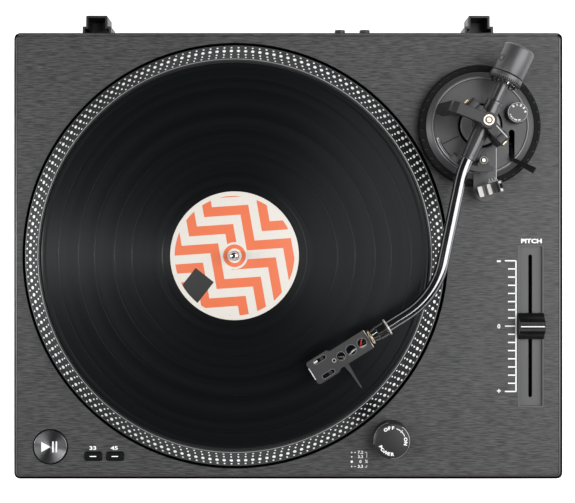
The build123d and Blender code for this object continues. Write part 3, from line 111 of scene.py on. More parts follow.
# ---- materials -------------------------------------------------------------------------------
class Shader:
    """A material, and short calls that add nodes to it. A value is a number, a vector, a colour or
    another node's output."""

    def __init__(self, name, colour, metallic=0.0, roughness=0.5, **settings):
        self.material = bpy.data.materials.new(name)
        self.material.use_nodes = True
        self.material.diffuse_color = (*colour, 1)
        self.tree = self.material.node_tree
        self.surface = self.tree.nodes["Principled BSDF"]
        self.set(Base_Color=colour, Metallic=metallic, Roughness=roughness, **settings)

    def feed(self, socket, value):
        """Gives a socket its value."""
        if isinstance(value, bpy.types.NodeSocket):
            self.tree.links.new(value, socket)
        elif socket.type == "RGBA":
            socket.default_value = (*value, 1)
        else:
            socket.default_value = value

    def set(self, **values):
        """Gives the surface's inputs their values."""
        for name, value in values.items():
            self.feed(self.surface.inputs[name.replace("_", " ")], value)

    def add(self, kind, **values):
        """A new node: each value goes to the input of that name, or else to the setting."""
        node = self.tree.nodes.new(kind)
        for name, value in values.items():
            socket = node.inputs.get(name.replace("_", " "))
            if socket is None:
                setattr(node, name, value)
            else:
                self.feed(socket, value)
        return node

    def place(self, scale=(1, 1, 1), origin=(0, 0, 0)):
        """Object coordinates, moved so that origin is zero, then scaled."""
        coordinates = self.add("ShaderNodeTexCoord").outputs["Object"]
        location = [-o * s for o, s in zip(origin, scale)]
        return self.add("ShaderNodeMapping", Vector=coordinates, Scale=scale, Location=location).outputs[0]

    def noise(self, vector, scale, detail=3.0, roughness=0.55):
        return self.add("ShaderNodeTexNoise", Vector=vector, Scale=scale, Detail=detail,
                        Roughness=roughness).outputs["Fac"]

    def ramp(self, value, *stops):
        """A colour ramp from two (position, colour) stops."""
        node = self.add("ShaderNodeValToRGB", Fac=value)
        for element, (position, colour) in zip(node.color_ramp.elements, stops):
            element.position = position
            element.color = (*colour, 1)
        return node.outputs["Color"]

    def drift(self, value, colour, spread, low=0.3):
        """A colour that goes darker and lighter by a share of itself."""
        return self.ramp(value, (low, tone(colour, 1 - spread)), (1 - low, tone(colour, 1 + spread)))

    def maths(self, operation, *values):
        node = self.add("ShaderNodeMath", operation=operation)
        for socket, value in zip(node.inputs, values):
            self.feed(socket, value)
        return node.outputs[0]

    def mix(self, factor, first, second):
        node = self.add("ShaderNodeMix", data_type="RGBA")
        for k, value in ((0, factor), (6, first), (7, second)):      # 6 and 7 are the colour inputs
            self.feed(node.inputs[k], value)
        return node.outputs[2]

    def split(self, vector):
        """A vector's X and Y."""
        return self.add("ShaderNodeSeparateXYZ", Vector=vector).outputs[:2]

    def radius(self, centre):
        """Distance from an upright axis through centre."""
        squares = [self.maths("MULTIPLY", side, side) for side in self.split(self.place(origin=centre))]
        return self.maths("SQRT", self.maths("ADD", *squares))

    def rings(self, distance, scale, detail=3.0):
        """Noise along a distance, which gives fine rings about its axis."""
        return self.add("ShaderNodeTexNoise", noise_dimensions="1D", W=distance, Scale=scale,
                        Detail=detail).outputs["Fac"]

    def radial_gloss(self):
        """Makes an anisotropic gloss fan out about local Z."""
        self.set(Tangent=self.add("ShaderNodeTangent", direction_type="RADIAL", axis="Z").outputs[0])

    def rough(self, value, low, high):
        node = self.add("ShaderNodeMapRange", Value=value, To_Min=low, To_Max=high)
        self.set(Roughness=node.outputs["Result"])

    def bump(self, height, strength, distance):
        node = self.add("ShaderNodeBump", Height=height, Strength=strength, Distance=distance)
        self.set(Normal=node.outputs["Normal"])


def tone(colour, factor):
    """A darker or lighter version of a colour."""
    return tuple(min(1.0, channel * factor) for channel in colour)


def speckled(name, colour, metallic, roughness, spread=0.18, relief=0.02, grain=1800, **settings):
    """A moulded or cast surface: fine grain, slow colour drift and uneven gloss."""
    shader = Shader(name, colour, metallic, roughness, **settings)
    place = shader.place()
    fine = shader.noise(place, grain, 2.0)
    slow = shader.noise(place, 35, 3.0)
    flecks = shader.drift(fine, colour, spread, 0.35)
    shader.set(Base_Color=shader.mix(0.5, shader.drift(slow, colour, spread), flecks))
    shader.rough(slow, max(0.03, roughness - 0.06), min(1.0, roughness + 0.08))
    shader.bump(fine, 0.25, relief * MM)
    return shader.material


def brushed_along(name, colour, metallic, roughness, stretch, lift):
    """Metal brushed along one axis: stretch holds the noise scale along X, Y and Z."""
    shader = Shader(name, colour, metallic, roughness)
    lines = shader.noise(shader.place(scale=stretch), 1.0, 2.0, 0.6)
    slow = shader.noise(shader.place(), 9, 2.0)
    streaks = shader.drift(lines, colour, lift, 0.34)
    shader.set(Base_Color=shader.mix(0.3, streaks, shader.drift(slow, colour, 0.07)))
    shader.rough(lines, roughness - 0.07, roughness + 0.1)
    shader.bump(lines, 0.35, 0.03 * MM)
    return shader.material


def turned_metal(name, colour, metallic, roughness, centre, pitch=0.35, lift=0.15):
    """Metal turned on a lathe: fine rings about an upright axis, pitch millimetres apart."""
    shader = Shader(name, colour, metallic, roughness)
    ring = shader.rings(shader.radius(centre), 1 / (pitch * MM))
    shader.set(Base_Color=shader.drift(ring, colour, lift))
    shader.rough(ring, max(0.04, roughness - 0.06), roughness + 0.08)
    shader.bump(ring, 0.3, 0.02 * MM)
    return shader.material


def pressed_vinyl(name):
    """Black record: fine grooves as rings, whose gloss fans out across them."""
    shader = Shader(name, (0.0030, 0.0036, 0.0042), 0.0, 0.30, Specular_IOR_Level=0.15,
                    Anisotropic=0.7, Anisotropic_Rotation=0.25)
    shader.radial_gloss()
    distance = shader.radius(ORIGIN)
    grooves = shader.rings(distance, 2600.0, 4.0)
    passages = shader.rings(distance, 130.0)
    shader.set(Base_Color=shader.ramp(
        passages, (0.35, (0.0026, 0.0034, 0.0040)), (0.65, (0.0040, 0.0050, 0.0058))
    ))
    shader.rough(passages, 0.27, 0.32)
    shader.bump(grooves, 0.10, 0.02 * MM)
    return shader.material


def printed_label(name):
    """Paper label in cream with broad orange chevrons, a plain ring and a dark corner block."""
    cream, orange, black = (0.63, 0.60, 0.55), (0.66, 0.14, 0.05), (0.010, 0.009, 0.009)
    shader = Shader(name, cream, 0.0, 0.55)
    distance = shader.radius(ORIGIN)
    rotated = shader.add("ShaderNodeMapping", Vector=shader.place(), Rotation=(0, 0, radians(38)))
    x, y = shader.split(rotated.outputs[0])
    zigzag = shader.maths("PINGPONG", shader.maths("ADD", x, 0.1), 21 * MM)
    slant = shader.maths("ADD", shader.maths("ADD", y, 0.2), shader.maths("MULTIPLY", zigzag, 0.9))
    stripe = shader.maths("LESS_THAN", shader.maths("MODULO", slant, 19 * MM), 9.8 * MM)
    inside = shader.maths("LESS_THAN", distance, 46.5 * MM)
    outside_hub = shader.maths("GREATER_THAN", distance, 10.5 * MM)
    band = shader.maths("MULTIPLY", shader.maths("MULTIPLY", stripe, inside), outside_hub)
    hub = shader.maths("COMPARE", distance, 7.2 * MM, 1.6 * MM)
    printed = shader.maths("MAXIMUM", band, hub)
    block_x = shader.maths("COMPARE", x, -9 * MM, 9 * MM)
    block_y = shader.maths("COMPARE", y, -38 * MM, 12 * MM)
    block = shader.maths("MULTIPLY", shader.maths("MULTIPLY", block_x, block_y), inside)
    grain = shader.noise(shader.place(), 900, 3.0)
    paper = shader.mix(grain, tone(cream, 0.95), tone(cream, 1.04))
    shader.set(Base_Color=shader.mix(block, shader.mix(printed, paper, orange), black))
    shader.rough(grain, 0.48, 0.62)
    shader.bump(grain, 0.2, 0.01 * MM)
    return shader.material


def spun_button(name):
    """A spun metal face: its gloss fans out from the middle as light and dark sectors."""
    shader = Shader(name, (0.14, 0.14, 0.145), 1.0, 0.37, Anisotropic=0.9, Anisotropic_Rotation=0.25)
    rings = shader.rings(shader.radius(ORIGIN), 5200.0)
    shader.set(Base_Color=shader.ramp(rings, (0.3, (0.11, 0.11, 0.113)), (0.7, (0.17, 0.17, 0.175))))
    shader.bump(rings, 0.25, 0.01 * MM)
    shader.radial_gloss()
    return shader.material


def glowing(name, colour, strength):
    """A small lit window with a soft uneven glow."""
    shader = Shader(name, tone(colour, 0.8), 0.0, 0.3, Emission_Strength=strength)
    glow = shader.noise(shader.place(), 600, 1.0)
    shader.set(Emission_Color=shader.ramp(glow, (0.2, tone(colour, 0.85)), (0.8, colour)))
    return shader.material


SPECKLED = {                         # name, colour, metallic, roughness, spread and relief
    "panel_edge": ("panel_chamfer", (0.13, 0.13, 0.132), 0.6, 0.36, 0.18, 0.01),
    # the plinth's own black rim, and also painted shade in the arm base's grooves and the eyelet's hole
    "rim": ("rim_black", (0.001, 0.001, 0.001), 0.0, 0.8),
    "plinth": ("plinth_black", (0.003, 0.003, 0.003), 0.0, 0.55, 0.18, 0.03),
    "black": ("moulded_black", (0.008, 0.008, 0.008), 0.0, 0.40),
    "gloss_black": ("gloss_black", (0.006, 0.006, 0.0065), 0.0, 0.12),
    "rubber": ("rubber_black", (0.022, 0.022, 0.022), 0.0, 0.75, 0.18, 0.06),
    "steel": ("machined_steel", (0.55, 0.55, 0.56), 1.0, 0.28, 0.08),
    "chrome": ("bright_chrome", (0.80, 0.80, 0.81), 1.0, 0.10, 0.04, 0.004),
    "gold": ("plated_gold", (0.62, 0.50, 0.35), 1.0, 0.30, 0.10, 0.006),
    "grey": ("satin_grey", (0.057, 0.057, 0.059), 0.35, 0.40, 0.12, 0.015),
    "satin": ("satin_metal", (0.095, 0.095, 0.098), 0.70, 0.40, 0.08, 0.01),
    "tray": ("tray_grey", (0.080, 0.080, 0.083), 0.1, 0.48, 0.06, 0.01),
    # polished metal on the rib and eyelet, and also painted highlight lines and arcs on lit edges
    "edge": ("polished_edge", (0.34, 0.34, 0.35), 0.5, 0.34, 0.08, 0.004),
    "cap": ("pale_plating", (0.78, 0.72, 0.62), 0.7, 0.34, 0.08, 0.006),
    "dark_grey": ("satin_dark", (0.022, 0.022, 0.023), 0.30, 0.38, 0.15),
    "head_grey": ("head_grey", (0.025, 0.025, 0.0265), 0.25, 0.42, 0.16, 0.02),
    "ring": ("ring_black", (0.005, 0.005, 0.005), 0.0, 0.46, 0.2, 0.03),
    "tube": ("black_chrome", (0.20, 0.20, 0.21), 1.0, 0.09, 0.05, 0.001),
    "sleeve": ("polished_grey", (0.080, 0.080, 0.083), 0.85, 0.30, 0.06, 0.006),
    "button": ("button_black", (0.004, 0.004, 0.0045), 0.0, 0.30),
    # painted highlight: a lighter copy of satin laid where edges, ridges and the hub catch the light
    "satin_light": ("satin_light", (0.18, 0.18, 0.185), 0.5, 0.38, 0.08, 0.01),
    "bronze": ("dark_bronze", (0.10, 0.065, 0.04), 0.6, 0.45, 0.1),
    "ink": ("white_print", (0.86, 0.86, 0.86), 0.0, 0.55, 0.03),
    "felt": ("felt_black", (0.018, 0.018, 0.020), 0.0, 0.95, 0.18, 0.15),
    "board": ("circuit_green", (0.01, 0.10, 0.045), 0.0, 0.35),
    "copper": ("copper_winding", (0.55, 0.22, 0.08), 0.9, 0.30, 0.18, 0.08),
    "magnet": ("sintered_magnet", (0.06, 0.06, 0.06), 0.3, 0.55),
    "lens": ("red_lens", (0.42, 0.012, 0.010), 0.0, 0.15),
    "cream": ("label_cream", (0.80, 0.74, 0.64), 0.0, 0.55, 0.04, 0.006),
    # painted shade: dark rings and slots where shade falls in grooves, gaps and holes
    "label_dark": ("label_black", (0.020, 0.020, 0.022), 0.0, 0.50),
    "red_wire": ("red_wire", (0.62, 0.025, 0.02), 0.0, 0.35),
    "white_wire": ("white_wire", (0.80, 0.80, 0.78), 0.0, 0.35, 0.05),
    "blue_wire": ("blue_wire", (0.006, 0.012, 0.05), 0.0, 0.45),
    "green_wire": ("green_wire", (0.005, 0.03, 0.010), 0.0, 0.45),
    "dots": ("polished_dots", (0.88, 0.90, 0.92), 0.35, 0.32, 0.10),
    "leaf_chrome": ("dull_chrome", (0.34, 0.33, 0.31), 0.75, 0.34, 0.1),
    "bright": ("bright_plating", (0.72, 0.70, 0.68), 0.6, 0.30, 0.08, 0.004),
}
SPECKLED_MORE = {                    # further settings of a few of them
    "rim": {"Specular_IOR_Level": 0.02},
    "plinth": {"Specular_IOR_Level": 0.15},
    "gloss_black": {"Coat_Weight": 0.5},
    "rubber": {"grain": 900},
    "ring": {"Specular_IOR_Level": 0.08},
    "button": {"Specular_IOR_Level": 0.2},
    "felt": {"grain": 2600, "Sheen_Weight": 0.4},
    "lens": {"Transmission_Weight": 0.3},
}


def build_materials():
    """Every material the scene uses, by name."""
    made = {key: speckled(*row, **SPECKLED_MORE.get(key, {})) for key, row in SPECKLED.items()}
    made.update({
        "panel": brushed_along("brushed_panel", (0.044, 0.044, 0.045), 0.30, 0.46,
                               stretch=(110, 1500, 110), lift=0.98),
        "platter": turned_metal("turned_platter", (0.006, 0.006, 0.0065), 0.1, 0.42, SPINDLE),
        "band": turned_metal("strobe_band", (0.005, 0.005, 0.0055), 0.1, 0.40, ORIGIN, lift=0.3),
        "lip": turned_metal("polished_lip", (0.30, 0.30, 0.31), 0.8, 0.38, ORIGIN, pitch=2.0),
        "outer_edge": turned_metal("turned_edge", (0.10, 0.10, 0.105), 0.8, 0.40, ORIGIN, pitch=2.0),
        "dial_top": turned_metal("spun_dial", (0.009, 0.009, 0.010), 0.15, 0.44, ORIGIN, pitch=0.3),
        "vinyl": pressed_vinyl("pressed_vinyl"),
        "label": printed_label("printed_label"),
        "spun": spun_button("spun_button"),
        "glow": glowing("lit_bar", (0.80, 0.88, 0.96), 0.75),
    })
    return made


MATERIAL = {}                        # filled by the calls at the end


# ---- mesh building ---------------------------------------------------------------------------
INK_T = 0.04                         # the thickness of printed ink, in millimetres


def put(name, data):
    """A new object in the scene."""
    thing = bpy.data.objects.new(name, data)
    bpy.context.scene.collection.objects.link(thing)
    return thing


def round_off(thing, width, angle, harden=False):
    """Rounds the edges where faces meet at more than an angle, by a width in millimetres."""
    rounding = thing.modifiers.new("edge_rounding", "BEVEL")
    rounding.width = width * MM
    rounding.segments = 2
    rounding.limit_method = "ANGLE"
    rounding.angle_limit = radians(angle)
    rounding.harden_normals = harden


def piece(name, mesh_builder, material, body, slot, replaces=(), bevel=0.0, place=None, sharp=35):
    """Makes one piece from a function that fills a bmesh, then rides it on its body."""
    bm = bmesh.new()
    mesh_builder(bm)
    bmesh.ops.recalc_face_normals(bm, faces=bm.faces)
    mesh = bpy.data.meshes.new(name)
    bm.to_mesh(mesh)
    bm.free()
    mesh.polygons.foreach_set("use_smooth", [True] * len(mesh.polygons))
    mesh.set_sharp_from_angle(angle=radians(sharp))
    thing = put(name, mesh)
    mesh.materials.append(MATERIAL[material])
    if place is not None:
        thing.matrix_world = place
    if bevel:
        round_off(thing, bevel, 35, harden=True)
    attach(thing, body)
    if replaces:
        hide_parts(*replaces)


def turned(name, profile, material, body, slot, count=48, start=0.0, sweep=360.0, **more):
    """A piece turned about its own Z from a profile of (radius, height) millimetres."""
    piece(name, lambda bm: add_lathe(bm, profile, count, start, sweep), material, body, slot, **more)


def slab(name, outline, low, high, material, body, slot, **more):
    """A piece that is one straight-sided solid."""
    piece(name, lambda bm: add_prism(bm, outline, low, high), material, body, slot, **more)


def frame_at(origin, forward):
    """A placing matrix: local X runs along forward, local Z as near to up as it can."""
    x = forward.normalized()
    y = UP.cross(x).normalized()
    z = x.cross(y)
    return Matrix.Translation(origin) @ Matrix((x, y, z)).transposed().to_4x4()


def outline_at(bm, outline, height):
    """New vertices along an outline of (x, y) millimetres, at a height."""
    return [bm.verts.new((x * MM, y * MM, height * MM)) for x, y in outline]


def join_rings(bm, here, there):
    """Four-sided faces between two closed rings of as many vertices each."""
    for i in range(len(here)):
        j = (i + 1) % len(here)
        bm.faces.new((here[i], here[j], there[j], there[i]))


def add_prism(bm, outline, low, high):
    """A straight-sided solid from an outline of (x, y) millimetres, between two heights."""
    bottom, top = outline_at(bm, outline, low), outline_at(bm, outline, high)
    join_rings(bm, bottom, top)
    bm.faces.new(top)
    bm.faces.new(bottom[::-1])


def rounded_rectangle(width, height, radius, centre=(0, 0), steps=4):
    """The outline of a rectangle with rounded corners."""
    points = []
    for corner, (sx, sy) in enumerate(((1, 1), (-1, 1), (-1, -1), (1, -1))):
        middle = (centre[0] + sx * (width / 2 - radius), centre[1] + sy * (height / 2 - radius))
        points += [polar(radius, 90 * (corner + k / steps), middle) for k in range(steps + 1)]
    return points


def ring_outline(radius, count=48, centre=(0, 0)):
    """A circle's outline."""
    return [polar(radius, 360 * k / count, centre) for k in range(count)]


def add_lathe(bm, profile, count, start=0.0, sweep=360.0, closed=None):
    """Turns (radius, height) millimetre points about local Z. closed joins the profile's ends,
    and unless it is given, it is true of a profile that doesn't start on the axis."""
    closed = profile[0][0] > 0 if closed is None else closed
    whole = abs(sweep - 360) < 1e-6
    rows = []
    for k in range(count if whole else count + 1):
        a = radians(start + sweep * k / count)
        rows.append([bm.verts.new((r * MM * cos(a), r * MM * sin(a), z * MM)) for r, z in profile])
    for k in range(count):
        here, there = rows[k], rows[(k + 1) % len(rows)]
        for i in range(len(profile) if closed else len(profile) - 1):
            j = (i + 1) % len(profile)
            bm.faces.new((here[i], there[i], there[j], here[j]))
    if closed and not whole:
        bm.faces.new(rows[0])
        bm.faces.new(rows[-1][::-1])
    bmesh.ops.remove_doubles(bm, verts=bm.verts, dist=1e-7)


def add_tube(bm, points, radius, sides):
    """A round rod along a list of points in metres; the radius is in millimetres."""
    rings = []
    for k, point in enumerate(points):
        ahead = points[min(k + 1, len(points) - 1)]
        behind = points[max(k - 1, 0)]
        along = (ahead - behind).normalized()
        side = along.orthogonal() if abs(along.z) > 0.95 else along.cross(UP).normalized()
        rise = side.cross(along).normalized()
        ring = []
        for i in range(sides):
            a = 2 * pi * i / sides
            ring.append(bm.verts.new(point + (side * cos(a) + rise * sin(a)) * radius * MM))
        rings.append(ring)
    for here, there in zip(rings, rings[1:]):
        join_rings(bm, here, there)
    bm.faces.new(rings[0][::-1])
    bm.faces.new(rings[-1])


def add_text(bm, words, size, place, stretch=1.0, weight=0.0):
    """Adds printed lettering, centred on a placing matrix; the size is in millimetres."""
    curve = bpy.data.curves.new("lettering", "FONT")
    curve.body = words
    curve.size = size * MM
    curve.align_x = "CENTER"
    curve.align_y = "CENTER"
    curve.extrude = INK_T / 2 * MM
    curve.offset = weight * MM
    curve.resolution_u = 3
    holder = bpy.data.objects.new("lettering", curve)
    mesh = bpy.data.meshes.new_from_object(holder)
    mesh.transform(place @ Matrix.Diagonal((stretch, 1, 1, 1)))
    bm.from_mesh(mesh)
    bpy.data.meshes.remove(mesh)
    bpy.data.objects.remove(holder)
    bpy.data.curves.remove(curve)


def add_ring_text(bm, words, size, radius, heading, step, weight=0.0, inward=False):
    """Lettering round a dial, centred on a heading in degrees, its tops outwards or inwards."""
    way = 1 if inward else -1
    for k, letter in enumerate(words):
        a = heading + way * (k - (len(words) - 1) / 2) * step
        place = shift(*polar(radius, a)) @ Matrix.Rotation(radians(a + way * 90), 4, "Z")
        add_text(bm, letter, size, place, 1.15, weight)


def add_bar(bm, start, end, width, low, high):
    """A straight bar between two (x, y) points, in millimetres."""
    length = hypot(end[0] - start[0], end[1] - start[1])
    nx, ny = (start[1] - end[1]) / length * width / 2, (end[0] - start[0]) / length * width / 2
    add_prism(bm, [(start[0] - nx, start[1] - ny), (end[0] - nx, end[1] - ny),
                   (end[0] + nx, end[1] + ny), (start[0] + nx, start[1] + ny)], low, high)


def add_band(bm, inner, outer, low, high, outer_high=None):
    """A band between two outlines with the same number of points; its top may slope outwards."""
    edge = high if outer_high is None else outer_high
    rows = [
        outline_at(bm, outline, height)
        for outline, height in ((inner, low), (inner, high), (outer, edge), (outer, low))
    ]
    for here, there in zip(rows, rows[1:] + rows[:1]):
        join_rings(bm, here, there)


def add_dome(bm, centre, across, along, normal, sizes, height, sides=10):
    """A low dome on a surface: sizes holds its half widths across and along, in millimetres."""
    rings = []
    for share, lift in ((1.0, 0.0), (0.62, 0.75)):
        ring = []
        for k in range(sides):
            a = 2 * pi * k / sides
            flat = across * (sizes[0] * share * cos(a)) + along * (sizes[1] * share * sin(a))
            ring.append(bm.verts.new((centre + flat + normal * (height * lift)) * MM))
        rings.append(ring)
    top = bm.verts.new((centre + normal * height) * MM)
    join_rings(bm, *rings)
    for k in range(sides):
        bm.faces.new((rings[1][k], rings[1][(k + 1) % sides], top))
    bm.faces.new(rings[0][::-1])


def about_axis(origin, axis):
    """A placing matrix whose local Z runs along an axis, for lathed pieces."""
    return Matrix.Translation(origin) @ axis.to_track_quat("Z", "Y").to_matrix().to_4x4()


def wire(name, points, radius, material, body, place):
    """A thin wire on a smooth curve through a few points, in millimetres."""
    curve = bpy.data.curves.new(name, "CURVE")
    curve.dimensions = "3D"
    curve.bevel_depth = radius * MM
    curve.bevel_resolution = 3
    curve.resolution_u = 8
    curve.use_fill_caps = True
    spline = curve.splines.new("NURBS")
    spline.points.add(len(points) - 1)
    for point, spot in zip(spline.points, points):
        point.co = (*(Vector(spot) * MM), 1)
    spline.order_u = 3
    spline.use_endpoint_u = True
    thing = put(name, curve)
    curve.materials.append(MATERIAL[material])
    thing.matrix_world = place
    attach(thing, body)
    return thing


# ---- setting: floor, lights, camera ----------------------------------------------------------
CAMERA_HEIGHT = 1.1                  # above the panel
CAMERA_SHIFT = (-0.35, 3.3)          # millimetres from the panel's middle
FLOOR_HALF = 12.0                    # metres
WALL_R, WALL_HEIGHT = 11500, 3500    # millimetres
LAMPS = (                            # name, place, width, length and watts
    ("right_softbox", (1.05, 0.12, 1.35), 1.15, 1.9, 35.0),
    ("left_softbox", (-1.25, 0.0, 1.25), 0.12, 1.7, 20.0),
    ("front_softbox", (0.25, -1.5, 1.5), 1.4, 0.5, 3.2),
)


def build_setting():
    """A pale floor and far wall, soft studio lights and a camera straight above the deck."""
    floor_mesh = bpy.data.meshes.new("floor")
    bm = bmesh.new()
    bmesh.ops.create_grid(bm, x_segments=8, y_segments=8, size=FLOOR_HALF)
    add_lathe(bm, [(WALL_R, 0), (WALL_R, WALL_HEIGHT)], 64, closed=False)
    bm.to_mesh(floor_mesh)
    bm.free()
    floor = put("floor", floor_mesh)
    floor_shader = Shader("studio_floor", (0.93, 0.93, 0.93), 0.0, 0.9, Emission_Strength=0.5,
                          Emission_Color=(1, 1, 1), Specular_IOR_Level=0.1)
    floor_mesh.materials.append(floor_shader.material)

    world = bpy.data.worlds.new("studio")
    world.use_nodes = True
    background = world.node_tree.nodes["Background"]
    background.inputs["Color"].default_value = (1.0, 1.0, 1.0, 1)
    background.inputs["Strength"].default_value = 0.05
    bpy.context.scene.world = world

    for name, place, width, length, power in LAMPS:
        light = bpy.data.lights.new(name, "AREA")
        light.shape = "RECTANGLE"
        light.size, light.size_y = width, length
        light.energy = power
        lamp = put(name, light)
        lamp.location = place
        lamp.rotation_euler = (DECK - lamp.location).to_track_quat("-Z", "Y").to_euler()

    bpy.context.scene.view_settings.view_transform = "Standard"

    camera = bpy.data.cameras.new("camera")
    camera.sensor_width = 36.0
    camera.lens = 87.3
    camera.clip_end = 40.0
    viewer = put("camera", camera)
    viewer.location = on_deck(*CAMERA_SHIFT) + UP * CAMERA_HEIGHT
    bpy.context.scene.camera = viewer


# ---- CAD nodes keep their shape and get materials --------------------------------------------
NODE_MATERIALS = {
    "plinth": "plinth_shell cue_lever",
    "panel": "top_panel",
    "black": (
        "bottom_cover foot_front_left foot_front_right foot_rear_left foot_rear_right "
        "hinge_socket_left hinge_socket_right rear_panel power_inlet start_stop_button "
        "fader_potentiometer signal_sockets ground_terminal"
    ),
    "tray": "fader_tray",
    "rubber": "foot_pads",
    "steel": "case_screws power_transformer bearing_housing cartridge_screws counterweight_core pivot_axle",
    "satin": "counterweight force_dial",
    "sleeve": "arm_sleeve",
    "button": "speed_33_button speed_45_button pitch_fader_knob",
    "chrome": "spindle",
    "gold": "bearing_bush bearing_screw yoke_screws",
    "board": "main_board motor_board",
    "copper": "stator",
    "magnet": "rotor_magnet",
    "platter": "platter",
    "felt": "slipmat",
    "lens": "strobe_window",
    "dark_grey": "strobe_housing power_dial arm_mount_collar cue_lift pivot_bridge gimbal_yoke",
    "ring": "height_ring",
    "grey": "arm_base arm_rest anti_skate_dial",
    "head_grey": "headshell",
    "gloss_black": "arm_clamp locking_collar cartridge stylus record",
    "tube": "arm_tube",
    "cream": "record_label",
    "red_wire": "headshell_leads",
}


def dress_nodes():
    """Gives every carried-over CAD node its material."""
    for material, names in NODE_MATERIALS.items():
        for name in names.split():
            slots = NODES[name].data.materials
            slots.clear()
            slots.append(MATERIAL[material])


BEVELLED = {                         # widths in millimetres
    "top_panel": 0.12, "hinge_socket_left": 0.5, "hinge_socket_right": 0.5, "power_dial": 0.5,
    "pitch_fader_knob": 0.35, "headshell": 0.22, "gimbal_yoke": 0.5, "pivot_bridge": 0.6,
    "arm_base": 0.3, "arm_rest": 0.3, "speed_33_button": 0.3, "speed_45_button": 0.3,
    "cue_lift": 0.3, "arm_clamp": 0.2, "strobe_housing": 0.3, "height_ring": 0.3,
    "cue_lever": 0.2, "counterweight": 0.6, "force_dial": 0.2, "fader_tray": 0.2,
}


def round_edges():
    """Small rounded edges on the CAD nodes that catch the light."""
    for name, width in BEVELLED.items():
        weld = NODES[name].modifiers.new("weld", "WELD")
        weld.merge_threshold = 0.001 * MM
        round_off(NODES[name], width, 40)


# ---- platter: strobe dots, polished lip, record and label ------------------------------------
SLOPE_LOW = (164.4, 4.4)             # strobe band's lower edge: radius and height over the panel
SLOPE_HIGH = (153.8, 14.4)
DOT_ROWS = (                         # radius, how many, half widths round and up the slope
    (163.2, 186, 0.80, 0.92), (160.2, 180, 1.36, 1.62), (157.0, 174, 0.80, 0.92),
    (154.7, 168, 0.68, 0.72),
)
AT_SPINDLE = Matrix.Translation((SPINDLE.x, SPINDLE.y, TOP))
DISC_TOP = (RECORD_TOP - TOP) / MM
DISC_R = size_of("record")[0] / 2
LABEL_R = size_of("record_label")[0] / 2
HOLE_R = 3.85
TRACK_GAPS = (137.0, 121.5, 109.0, 93.5, 80.0)


def slope_height(radius):
    """Height of the strobe band over the panel at a radius."""
    share = (SLOPE_LOW[0] - radius) / (SLOPE_LOW[0] - SLOPE_HIGH[0])
    return SLOPE_LOW[1] + share * (SLOPE_HIGH[1] - SLOPE_LOW[1])


def build_platter():
    """Black strobe band with its four rows of polished dots, and the bright lip and edge."""
    metal = {"body": "platter", "slot": "platter_metal", "place": AT_SPINDLE}
    run, rise = SLOPE_LOW[0] - SLOPE_HIGH[0], SLOPE_HIGH[1] - SLOPE_LOW[1]
    slant = hypot(run, rise)
    skin = 0.12
    nr, nz = rise / slant * skin, run / slant * skin
    turned("strobe_band", [
        (SLOPE_LOW[0] + nr, SLOPE_LOW[1] + nz), (SLOPE_HIGH[0] + nr, SLOPE_HIGH[1] + nz),
        (SLOPE_HIGH[0] - nr, SLOPE_HIGH[1] - nz), (SLOPE_LOW[0] - nr, SLOPE_LOW[1] - nz),
    ], "band", count=180, **metal)
    turned("platter_lip", [
        (152.80, 14.2), (152.80, 14.95), (152.90, 15.05), (153.30, 15.05), (153.45, 14.9),
        (153.55, 14.3),
    ], "lip", count=180, **metal)
    turned("platter_edge", [
        (164.3, 4.3), (164.3, 4.62), (164.75, 4.55), (165.08, 4.1), (165.08, 3.3), (164.3, 3.3),
    ], "outer_edge", count=180, **metal)
    for row, (radius, count, half_round, half_up) in enumerate(DOT_ROWS):
        def dots(bm):
            for k in range(count):
                out, round_about = spoke(2 * pi * (k + 0.5 * (row % 2)) / count)
                up_slope = (-out * run + UP * rise) / slant
                normal = (out * rise + UP * run) / slant
                spot = out * radius + UP * slope_height(radius) + normal * skin
                add_dome(bm, spot, round_about, up_slope, normal, (half_round, half_up), 0.28)
        piece(f"strobe_dots_{row + 1}", dots, "dots", **metal)


def build_record():
    """The pressed disc with its bead, grooved bands and run-out, and the printed label."""
    grooved, gap_floor = DISC_TOP - 0.30, DISC_TOP - 0.36
    profile = [
        (HOLE_R, DISC_TOP - 2.1), (DISC_R - 1.2, DISC_TOP - 2.1), (DISC_R, DISC_TOP - 1.1),
        (DISC_R - 0.5, DISC_TOP - 0.25), (DISC_R - 1.3, DISC_TOP), (DISC_R - 2.6, DISC_TOP - 0.02),
        (DISC_R - 4.2, DISC_TOP - 0.26),
    ]
    for gap in TRACK_GAPS:
        profile += [(gap + 0.5, grooved), (gap + 0.3, gap_floor),
                    (gap - 0.3, gap_floor), (gap - 0.5, grooved)]
    profile += [
        (61.0, grooved), (60.2, gap_floor), (56.5, DISC_TOP - 0.34), (55.9, DISC_TOP - 0.22),
        (LABEL_R + 1.2, DISC_TOP - 0.10), (LABEL_R + 0.3, DISC_TOP - 0.16), (HOLE_R, DISC_TOP - 0.16),
    ]
    turned("record_disc", profile, "vinyl", "platter", "vinyl", 180, replaces=["record"],
           place=AT_SPINDLE, sharp=3)
    turned("label_face", [
        (HOLE_R, DISC_TOP - 0.15), (HOLE_R, DISC_TOP), (16.6, DISC_TOP), (17.0, DISC_TOP - 0.05),
        (17.6, DISC_TOP), (LABEL_R - 0.3, DISC_TOP), (LABEL_R, DISC_TOP - 0.15),
    ], "label", "platter", "label_paper", 120, replaces=["record_label"], place=AT_SPINDLE)


# ---- panel edge and prints -------------------------------------------------------------------
PRINT = {"body": "plinth", "slot": "brushed_panel", "place": Matrix.Translation(on_deck(0, 0, 0.03))}
INK_WIDTH = 1.0
SCALE_X, SCALE_TOP, SCALE_END = 179.9, -4.0, -107.1
SIGN_X = 166.4                       # the fader's minus, 0 and plus
TICKS = 17


